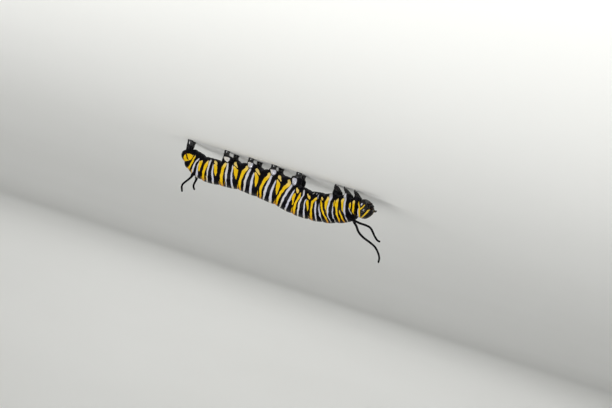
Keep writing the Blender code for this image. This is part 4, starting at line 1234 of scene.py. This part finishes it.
    def mark(
        self, mesh: bpy.types.Mesh, points: Array, turn: Array, angle: Array, per_turn: Array, limb: Array
    ) -> None:
        """Stores where each pigment and finish lies, and where painted shade and painted light fall.

        Args:
            mesh: The skin's mesh.
            points: Its points, in millimetres.
            turn: Where along the body each is.
            angle: Where round it.
            per_turn: Millimetres for each turn there.
            limb: 1 on a limb or filament, 0 on the trunk.
        """
        depths = paint_trunk(turn, angle, per_turn, points)
        shield = np.zeros(len(points))
        degrees = np.abs(np.degrees(angle))
        black = limb * np.where((turn > 10) & (degrees > 100), 0.08, 0.7)
        yellow = depths[Pigment.YELLOW] - black
        white = depths[Pigment.WHITE] - black
        for leg in self.prolegs:
            inside = leg.white_depth(points) + 0.02 * soft_noise(points, 0.4, 11)
            near = inside > -0.5
            yellow = np.where(near, np.minimum(yellow, -inside - 0.14), yellow)
            white = np.maximum(np.where(near, np.minimum(white, -inside - 0.14), white), inside)
            shield = np.maximum(shield, smoothstep(-0.02, 0.05, inside))
        write_values(mesh, "yellow", yellow)
        write_values(mesh, "white", white)
        write_values(mesh, "brown", depths[Pigment.BROWN] - black)
        # Painted shade on the back, strongest at the midline and fading by 58 degrees down the side; none on
        # limbs.
        write_values(mesh, "back_shade", smoothstep(58, 8, degrees) * (1 - limb))
        # Painted light: paler yellow from 100 to 128 degrees down the side.
        write_values(mesh, "pale", smoothstep(100, 128, degrees) * 0.8)
        share = np.ceil(turn) - turn
        cream = np.maximum(0.7 * smoothstep(0.44, 0.56, share), smoothstep(40, 12, degrees))
        write_values(mesh, "cream", cream)
        fold = np.exp(-((np.minimum(share, 1 - share) / 0.10) ** 2))
        belly = smoothstep(134, 150, degrees) * smoothstep(2.6, 3.4, turn) * (1 - limb)
        write_values(mesh, "membrane", 0.9 * fold * belly)
        foot = smoothstep(1.25, 0.95, points[:, 2]) * limb
        tail = smoothstep(0.50, 0.34, turn) * smoothstep(100, 80, degrees)
        write_values(mesh, "plate", np.clip(foot + tail + 0.55 * shield, 0, 1))


# ---------------------------------------------------------------- true legs


@dataclass(frozen=True)
class TrueLeg:
    """A jointed leg of the thorax: three hard segments and a curved claw."""

    number: int
    side: int
    turn: float
    seat_station: float
    foot_station: float
    girth: float

    @property
    def name(self) -> str:
        """The name of the solid it stands for."""
        return f"leg_{self.number}_{'left' if self.side < 0 else 'right'}"

    def middle(self, lead: Array, height: Array) -> Array:
        """The leg's middle line.

        Args:
            lead: Shares of the way from the foot to the seat.
            height: Heights in millimetres.

        Returns:
            Points in millimetres.
        """
        base = TRUNK.slices(np.array([self.turn]))[0][0][1] - TRUNK.shift_right
        station = self.foot_station + (self.seat_station - self.foot_station) * lead
        right = base + self.side * (0.95 + 0.25 * lead)
        return TRUNK.place(station, right, height)

    def rings(self, rows: Array, sides: int) -> Array:
        """Level rings for rows of height, lead, half length and half width."""
        return level_rings(self.middle(rows[:, 1], rows[:, 0]), rows[:, 2:4] * self.girth, sides)

    def socket_rings(self) -> Array:
        """The fleshy socket that the hard leg stands in.

        Returns:
            An array of rings by points by three.
        """
        rows = np.array(
            [
                (2.60, 1.05, 0.70, 0.52),
                (1.90, 1.02, 0.80, 0.60),
                (1.50, 1.00, 0.78, 0.59),
                (1.30, 0.98, 0.70, 0.54),
                (1.22, 0.97, 0.55, 0.44),
            ]
        )
        return self.rings(through(rows, np.linspace(0, 4, 20)), 32)

    def build(self, material: bpy.types.Material) -> None:
        """Makes and dresses the leg.

        Args:
            material: The hard chitin.
        """
        rows = np.array(
            [
                (1.55, 1.00, 0.62, 0.48),
                (1.30, 0.98, 0.70, 0.53),
                (1.12, 0.90, 0.69, 0.53),
                (0.98, 0.78, 0.61, 0.49),
                (0.93, 0.72, 0.50, 0.41),
                (0.88, 0.66, 0.56, 0.46),
                (0.72, 0.52, 0.53, 0.44),
                (0.58, 0.40, 0.45, 0.38),
                (0.53, 0.36, 0.37, 0.32),
                (0.48, 0.32, 0.41, 0.36),
                (0.34, 0.20, 0.35, 0.32),
                (0.22, 0.10, 0.22, 0.22),
                (0.18, 0.07, 0.15, 0.15),
                (0.10, 0.03, 0.13, 0.12),
                (0.00, 0.00, 0.09, 0.08),
            ]
        )
        parts = Pieces()
        parts.add_rings(self.rings(through(rows, np.linspace(0, len(rows) - 1, 84)), 36))
        piece = parts.build(self.name + "_shell")
        finish_piece(piece, material, [self.name])


def make_true_legs() -> list[TrueLeg]:
    """The three pairs.

    Returns:
        The legs, from the rear pair to the front one.
    """
    # By the pair's number: the turn, the seat's and the foot's station, and the girth.
    legs = {3: (10.40, 32.47, 31.76, 1.0), 2: (11.35, 34.95, 33.68, 0.95), 1: (12.30, 36.98, 36.02, 0.8)}
    return [
        TrueLeg(number, side, turn, seat, foot, girth)
        for number, (turn, seat, foot, girth) in legs.items()
        for side in (-1, 1)
    ]


# ---------------------------------------------------------------- the head


@dataclass(frozen=True)
class Head:
    """The head capsule and what stands on it. Its axes are the face's way, its left and its crown."""

    lean: float = math.radians(45.0)
    turned: float = math.radians(17.3)
    ahead_of_neck: float = 1.20
    height: float = 3.24
    half_depth: float = 1.80
    half_back: float = 2.00
    half_width: float = 1.80
    half_length: float = 2.05
    round_face: float = 2.1
    round_back: float = 3.0
    cleft: float = 0.14
    cleft_width: float = 0.35
    mouth_plane: float = 1.42
    groove: float = 0.05
    antenna_bend: float = 0.26
    # An eye's outline: the reach from its middle and the lift off the cheek.
    lens_profile: tuple[tuple[float, float], ...] = (
        (0.150, -0.06),
        (0.150, 0.012),
        (0.138, 0.022),
        (0.124, 0.012),
        (0.118, 0.030),
        (0.098, 0.072),
        (0.066, 0.100),
        (0.030, 0.114),
    )

    def axes(self) -> tuple[Array, Array]:
        """Where the head stands.

        Returns:
            Its three axes as rows, and its middle.
        """
        neck, _, _, _, forward = TRUNK.slices(np.array([float(TURNS)]))
        turn = Matrix.Rotation(self.turned, 3, "Z")
        ahead = np.array(turn @ Vector(forward[0]))
        left = np.cross((0.0, 0.0, 1.0), ahead)
        crown = unit(np.array((0.0, 0.0, math.cos(self.lean))) - ahead * math.sin(self.lean))
        middle = neck[0] + forward[0] * self.ahead_of_neck
        middle[2] = self.height
        return np.stack([np.cross(left, crown), left, crown]), middle

    def to_body(self, points: Array) -> Array:
        """Points in the head's axes, in the body's."""
        axes, middle = self.axes()
        return points @ axes + middle

    def surface(self, down: Array, around: Array) -> Array:
        """The capsule's surface.

        Args:
            down: Angles down from the crown, in radians.
            around: Angles round it from the face, in radians, positive on the left.

        Returns:
            Points in the head's axes.
        """
        power = np.where(np.cos(around) < 0, self.round_back, self.round_face)
        deep = np.where(np.cos(around) < 0, self.half_back, self.half_depth)
        wide = np.abs(np.sin(down)) ** (2 / self.round_face)
        points = np.stack(
            [
                deep * wide * signed_power(np.cos(around), 2 / power),
                self.half_width * wide * signed_power(np.sin(around), 2 / power),
                self.half_length * signed_power(np.cos(down), 2 / self.round_face),
            ],
            -1,
        )
        dent = self.cleft * np.exp(-((points[..., 1] / self.cleft_width) ** 2))
        dent = dent * np.clip(np.cos(down), 0, None)
        return points - unit(points) * dent[..., None]

    def course(self, knots: Sequence[tuple[float, float]], side: int, steps: int = 60) -> Array:
        """Points along a line on the capsule.

        Args:
            knots: Degrees down from the crown and round from the face.
            side: 1 on the left, -1 on the right.
            steps: How many points there are.

        Returns:
            Points in the head's axes.
        """
        rows = through(np.array(knots, float), np.linspace(0, len(knots) - 1, steps))
        return self.surface(np.radians(rows[:, 0]), side * np.radians(rows[:, 1]))

    def reach(self, points: Array, line: Array) -> tuple[Array, Array]:
        """Measures points against a line.

        Args:
            points: Places in the head's axes.
            line: The line's points.

        Returns:
            How far each place is from the line, and how far along the line that is, as a share.
        """
        gaps = np.linalg.norm(points[:, None] - line[None], axis=-1)
        nearest = gaps.argmin(1)
        return gaps[np.arange(len(points)), nearest], nearest / (len(line) - 1)

    def capsule(self, material: bpy.types.Material) -> None:
        """Makes the capsule with its sutures and its yellow arches.

        Args:
            material: The marked chitin.
        """
        rows, sides = 150, 200
        downs = np.linspace(0.01, math.pi - 0.01, rows)
        down, around = np.meshgrid(downs, circle(sides), indexing="ij")
        points = self.surface(down.ravel(), around.ravel())
        yellow = np.full(len(points), -1.0)
        white = np.full(len(points), -1.0)
        relief = 0.012 * soft_noise(points, 0.8, 21) + 0.004 * soft_noise(points, 0.25, 22)
        # Marks in degrees down and round. The yellow ones have a half width at their start and at their end.
        inner = ((8, 10), (31, 14), (59, 21), (75, 26), (89, 30), (101, 33), (112, 35), (123, 37), (134, 39))
        outer = ((14, 30), (32, 30), (46, 33), (53, 38), (60, 48), (66, 57), (75, 71), (82, 80))
        fore, hind = ((82, 80), (94, 78), (106, 80), (120, 88)), ((80, 78), (88, 92), (90, 106), (92, 125))
        arches = ((inner, 0.11, 0.20), (outer, 0.13, 0.24), (hind, 0.18, 0.15), (fore, 0.17, 0.10))
        rim = ((30, 46), (42, 46), (50, 52), (58, 64), (67, 76), (78, 88))
        patch = ((103, 94), (108, 97))
        # The grooves that frame the front plate.
        frame_groove = ((40, 2), (60, 7), (80, 11), (100, 15), (118, 20))
        for side in (-1, 1):
            for knots, start, end in arches:
                gap, share = self.reach(points, self.course(knots, side))
                yellow = np.maximum(yellow, start + (end - start) * share - gap)
            for knots, half_width in ((rim, 0.12), (patch, 0.17)):
                gap, _ = self.reach(points, self.course(knots, side))
                white = np.maximum(white, half_width - gap)
            gap, _ = self.reach(points, self.course(frame_groove, side))
            relief -= self.groove * np.exp(-((gap / self.groove) ** 2))
        gap, _ = self.reach(points, self.course(((0, 0), (12, 0), (28, 0), (42, 0)), 1))
        relief -= self.groove * np.exp(-((gap / self.groove) ** 2))
        points = points + unit(points) * relief[:, None]
        below = np.minimum(points[:, 2] + self.mouth_plane, 0)
        points[:, 2] = np.maximum(points[:, 2], -self.mouth_plane + 0.03 * below)
        parts = Pieces()
        parts.add_rings(self.to_body(points).reshape(rows, sides, 3))
        piece = parts.build("head_capsule")
        fill = np.full(2, -1.0)
        write_values(piece.data, "yellow", np.concatenate([yellow, fill]))
        write_values(piece.data, "white", np.concatenate([white, fill]))
        finish_piece(piece, material, ["head"])

    def seat(self, down: float, around: float) -> tuple[Array, Array]:
        """Where something small sits on the capsule.

        Args:
            down: Degrees down from the crown.
            around: Degrees round from the face, positive on the left.

        Returns:
            The point and the way out of the capsule, in the head's axes.
        """
        d, a = np.array([math.radians(down)]), np.array([math.radians(around)])
        here = self.surface(d, a)[0]
        along = self.surface(d + 0.02, a)[0] - self.surface(d - 0.02, a)[0]
        sideways = self.surface(d, a + 0.02)[0] - self.surface(d, a - 0.02)[0]
        out = unit(np.cross(along, sideways))
        return here, out if out @ here > 0 else -out

    def lenses(self, side: int, material: bpy.types.Material) -> None:
        """Makes the six small eyes of one cheek.

        Args:
            side: 1 on the left, -1 on the right.
            material: The lenses' glassy chitin.
        """
        word = "left" if side > 0 else "right"
        parts = Pieces()
        spots = ((0.14, 0.30), (0.26, 0.66), (0.46, 0.84), (0.68, 0.70), (0.86, 0.38), (0.54, 0.18))
        turns = circle(20)[:, None]
        for along, across in spots:
            here, out = self.seat(91 + 27 * along, side * (50 + 26 * across))
            first = unit(np.cross(out, (0.3, 0.2, 0.9)))
            second = np.cross(out, first)
            rings = []
            for reach, lift in self.lens_profile:
                rings.append(here + out * lift + (first * np.cos(turns) + second * np.sin(turns)) * reach)
            parts.add_rings(self.to_body(np.array(rings)))
        piece = parts.build(f"stemmata_{word}_lenses")
        finish_piece(piece, material, [f"stemmata_{word}"])

    def antenna(self, side: int, material: bpy.types.Material) -> None:
        """Makes one short three-jointed antenna.

        Args:
            side: 1 on the left, -1 on the right.
            material: The hard chitin.
        """
        word = "left" if side > 0 else "right"
        here, out = self.seat(130, side * 46)
        lean = unit(out + np.array((-0.8, 0.0, -1.0)))
        reaches = (-0.05, 0.05, 0.09, 0.12, 0.20, 0.26, 0.28, 0.31, 0.40, 0.45, 0.47, 0.50, 0.56, 0.60)
        radii = (0.26, 0.25, 0.20, 0.22, 0.22, 0.20, 0.15, 0.17, 0.165, 0.14, 0.10, 0.11, 0.09, 0.03)
        bend = self.antenna_bend
        course = [here + out * min(reach, bend) + lean * max(reach - bend, 0.0) for reach in reaches]
        parts = Pieces()
        parts.add_tube(self.to_body(np.array(course)), np.array(radii), 24)
        piece = parts.build(f"antenna_{word}_joints")
        finish_piece(piece, material, [f"antenna_{word}"])

    def mouth(self, shell: bpy.types.Material, horn: bpy.types.Material) -> None:
        """Makes the notched upper lip, the toothed jaws, and the lower lip with its palps and spinneret.

        Args:
            shell: The jaws' chitin.
            horn: The lips' chitin.
        """
        top = -self.mouth_plane - 0.12
        # Upper lip: a thin curved plate with a notch.
        across = np.linspace(-1, 1, 41)
        rings = []
        for share in np.linspace(0, 1, 14):
            notch = 0.15 * np.exp(-((across / 0.22) ** 2)) * share
            reach = 0.36 * share * np.sqrt(np.clip(1 - 0.35 * across**4, 0, 1)) - notch
            bow = 0.80 + 0.10 * (1 - across**2) + 0.10 * share
            front = np.stack([bow, across * 0.60 * (1 - 0.12 * share**2), top - reach + 0.13], -1)
            back = front[::-1] - np.array((0.13, 0.0, 0.0))
            rings.append(np.concatenate([front, back]))
        parts = Pieces()
        parts.add_rings(self.to_body(np.array(rings)))
        finish_piece(parts.build("labrum_plate"), horn, ["labrum"])
        # Jaws: short, thick, and toothed along the cutting edge.
        for side, word in ((1, "left"), (-1, "right")):
            rings = []
            turns = circle(28)
            for share in np.linspace(0, 1, 16):
                grow = 1 - 0.30 * share**1.5
                x = 0.28 + 0.26 * grow * signed_power(np.cos(turns), 0.8)
                y = side * (0.40 - 0.08 * share) + 0.30 * grow * signed_power(np.sin(turns), 0.8)
                teeth = 0.05 * np.abs(np.sin(turns * 3)) * smoothstep(0.7, 1.0, np.full(28, share))
                rings.append(np.stack([x, y, top + 0.10 - 0.50 * share - teeth], -1))
            parts = Pieces()
            parts.add_rings(self.to_body(np.array(rings)))
            finish_piece(parts.build(f"mandible_{word}_jaw"), shell, [f"mandible_{word}"])
        # Lower lip: a middle lobe and two side lobes, each with a palp, and the silk tube between them.
        parts = Pieces()
        for y, width in ((0.0, 0.30), (0.36, 0.24), (-0.36, 0.24)):
            knots = ((-0.42, 0.12), (-0.42, -0.06), (-0.40, -0.22), (-0.38, -0.32))
            line = np.array([(x, y, top + lift) for x, lift in knots])
            rows = through(line, np.linspace(0, 3, 14))
            radii = width * np.sqrt(np.clip(1 - np.linspace(0, 0.98, 14) ** 3, 0, 1))
            parts.add_tube(self.to_body(rows), radii, 22)
        palp = ((-0.32, 1.0, -0.20), (-0.24, 0.95, -0.32), (-0.16, 0.9, -0.42))
        tube = ((-0.36, 1.0, -0.26), (-0.30, 1.0, -0.38), (-0.22, 1.0, -0.46))
        feelers = ((palp, 0.40, 0.09, 0.045), (palp, -0.40, 0.09, 0.045), (tube, 0.0, 0.08, 0.035))
        for knots, y, thick, thin in feelers:
            line = np.array([(x, y * inward, top + lift) for x, inward, lift in knots])
            course = through(line, np.linspace(0, 2, 9))
            parts.add_tube(self.to_body(course), np.linspace(thick, thin, 9), 16)
        finish_piece(parts.build("labium_lobes"), horn, ["labium"])


# ---------------------------------------------------------------- the studio


@dataclass(frozen=True)
class Studio:
    """A pale floor that curves up into a wall all round, soft lights, and the camera."""

    floor: str = "#E9E9E5"
    floor_pale: str = "#EFEFEC"
    cloud_mm: float = 1000.0 / 9.0
    azimuth: float = math.radians(-16.0)
    elevation: float = math.radians(4.5)
    roll_axis: tuple[float, float, float] = (0.3233, 0.0, -0.9463)
    lens: float = 135.0
    sensor: float = 36.0
    width_px: int = 612
    height_px: int = 408
    mm_per_px: float = 0.206
    # A point of the body's midline and where it lies in the frame.
    aim: tuple[float, float, float] = (20.60, 0.0, 4.98)
    aim_px: tuple[float, float] = (279.43, 192.53)

    def stage(self) -> None:
        """Makes the floor and the wall that it curves up into, in metres."""
        sides = 96
        profile = [(0.0, 0.0), (0.02, 0.0), (0.08, 0.0), (0.3, 0.0), (0.6, 0.0)]
        for turn in np.linspace(0, math.pi / 2, 12)[1:]:
            profile.append((0.6 + 0.9 * math.sin(turn), 0.9 - 0.9 * math.cos(turn)))
        profile.append((1.5, 1.9))
        parts = Pieces()
        points = [(0.0, 0.0, 0.0)]
        for reach, height in profile[1:]:
            points += [(reach * math.cos(t), reach * math.sin(t), height) for t in circle(sides)]
        faces = [(0, 1 + side, 1 + (side + 1) % sides) for side in range(sides)]
        for ring in range(len(profile) - 2):
            for side in range(sides):
                near, far = 1 + ring * sides + side, 1 + ring * sides + (side + 1) % sides
                faces.append((near, near + sides, far + sides, far))
        parts.add(np.array(points), faces)
        stage = parts.build("studio_floor")
        material, tree, shader = new_material("painted_floor")
        place = add_node(tree, "TexCoord").outputs["Object"]
        clouds = noise(tree, place, self.cloud_mm, 2.0)
        tree.links.new(blend(tree, self.floor, self.floor_pale, clouds), shader.inputs["Base Color"])
        shader.inputs["Roughness"].default_value = 0.85
        stage.data.materials.append(material)

    def lamp(
        self,
        name: str,
        azimuth: float,
        elevation: float,
        distance: float,
        size: float,
        watts: float,
        toward: tuple[float, float, float] = (0.0, 0.0, 0.005),
    ) -> None:
        """Makes one soft square lamp.

        Args:
            name: The lamp's name.
            azimuth: Degrees round from the camera, towards the tail.
            elevation: Degrees above the floor.
            distance: Metres from the larva.
            size: The lamp's side in metres.
            watts: Its power.
            toward: The place it faces.
        """
        light = bpy.data.lights.new(name, "AREA")
        light.size = size
        light.energy = watts
        lamp = bpy.data.objects.new(name, light)
        bpy.context.scene.collection.objects.link(lamp)
        turn, rise = self.azimuth + math.radians(azimuth), math.radians(elevation)
        way = Vector((math.sin(turn) * math.cos(rise), -math.cos(turn) * math.cos(rise), math.sin(rise)))
        lamp.location = Vector((0.0, 0.0, 0.005)) + way * distance
        lamp.rotation_euler = (lamp.location - Vector(toward)).to_track_quat("Z", "Y").to_euler()

    def lights(self) -> None:
        """Makes the lamps and the pale surroundings."""
        wall = (1.5 * math.sin(self.azimuth + math.pi), -1.5 * math.cos(self.azimuth + math.pi), 0.1)
        self.lamp("key", 24.0, 20.0, 0.50, 0.20, 2.1)
        self.lamp("fill", -46.0, 22.0, 0.60, 0.40, 0.6)
        self.lamp("back", 175.0, 45.0, 0.60, 0.40, 0.5)
        self.lamp("top", 20.0, 82.0, 0.60, 0.45, 0.3)
        self.lamp("wall", 180.0, 30.0, 0.80, 0.50, 1.3, wall)
        world = bpy.data.worlds.new("surroundings")
        world.use_nodes = True
        background = world.node_tree.nodes["Background"]
        background.inputs[0].default_value = (0.86, 0.88, 0.90, 1.0)
        background.inputs[1].default_value = 0.26
        bpy.context.scene.world = world
        bpy.context.scene.view_settings.view_transform = "Standard"

    def camera(self) -> None:
        """Makes the camera, rolled so that the larva's feet point up in the frame."""
        rise, turn = self.elevation, self.azimuth
        back = Vector((math.sin(turn) * math.cos(rise), -math.cos(turn) * math.cos(rise), math.sin(rise)))
        up = Vector(self.roll_axis)
        up = (up - back * up.dot(back)).normalized()
        right = up.cross(back)
        distance = self.mm_per_px * self.width_px * self.lens / self.sensor * MM
        point = Vector(TRUNK.place(*map(np.float64, self.aim))) * MM
        scale = self.mm_per_px * MM
        shift = right * ((self.aim_px[0] - self.width_px / 2) * scale)
        shift -= up * ((self.aim_px[1] - self.height_px / 2) * scale)
        lens = bpy.data.cameras.new("camera")
        lens.lens = self.lens
        lens.sensor_width = self.sensor
        lens.sensor_fit = "HORIZONTAL"
        lens.clip_start = 0.01
        lens.clip_end = 10.0
        camera = bpy.data.objects.new("camera", lens)
        bpy.context.scene.collection.objects.link(camera)
        rotation = Matrix((right, up, back)).transposed().to_4x4()
        rotation.translation = point - shift + back * distance
        camera.matrix_world = rotation
        bpy.context.scene.camera = camera


def main() -> None:
    """Builds the larva and its studio."""
    logging.basicConfig(level=logging.INFO, format="%(message)s")
    studio = Studio()
    studio.camera()
    studio.stage()
    studio.lights()
    cuticle = SkinFinish().build()
    capsule = HardFinish("head_chitin", marked=True).build()
    shell = HardFinish("leg_chitin").build()
    horn = HardFinish("lip_chitin", black="#1A0D08", brown="#3A2016", roughness=0.32).build()
    lens = HardFinish("eye_lens", roughness=0.06, depth_mm=0.001).build()
    Skin(make_prolegs(), make_filaments()).build(cuticle)
    for leg in make_true_legs():
        leg.build(shell)
    head = Head()
    head.capsule(capsule)
    for side in (1, -1):
        head.lenses(side, lens)
        head.antenna(side, shell)
    head.mouth(shell, horn)


if __name__ == "__main__":
    main()
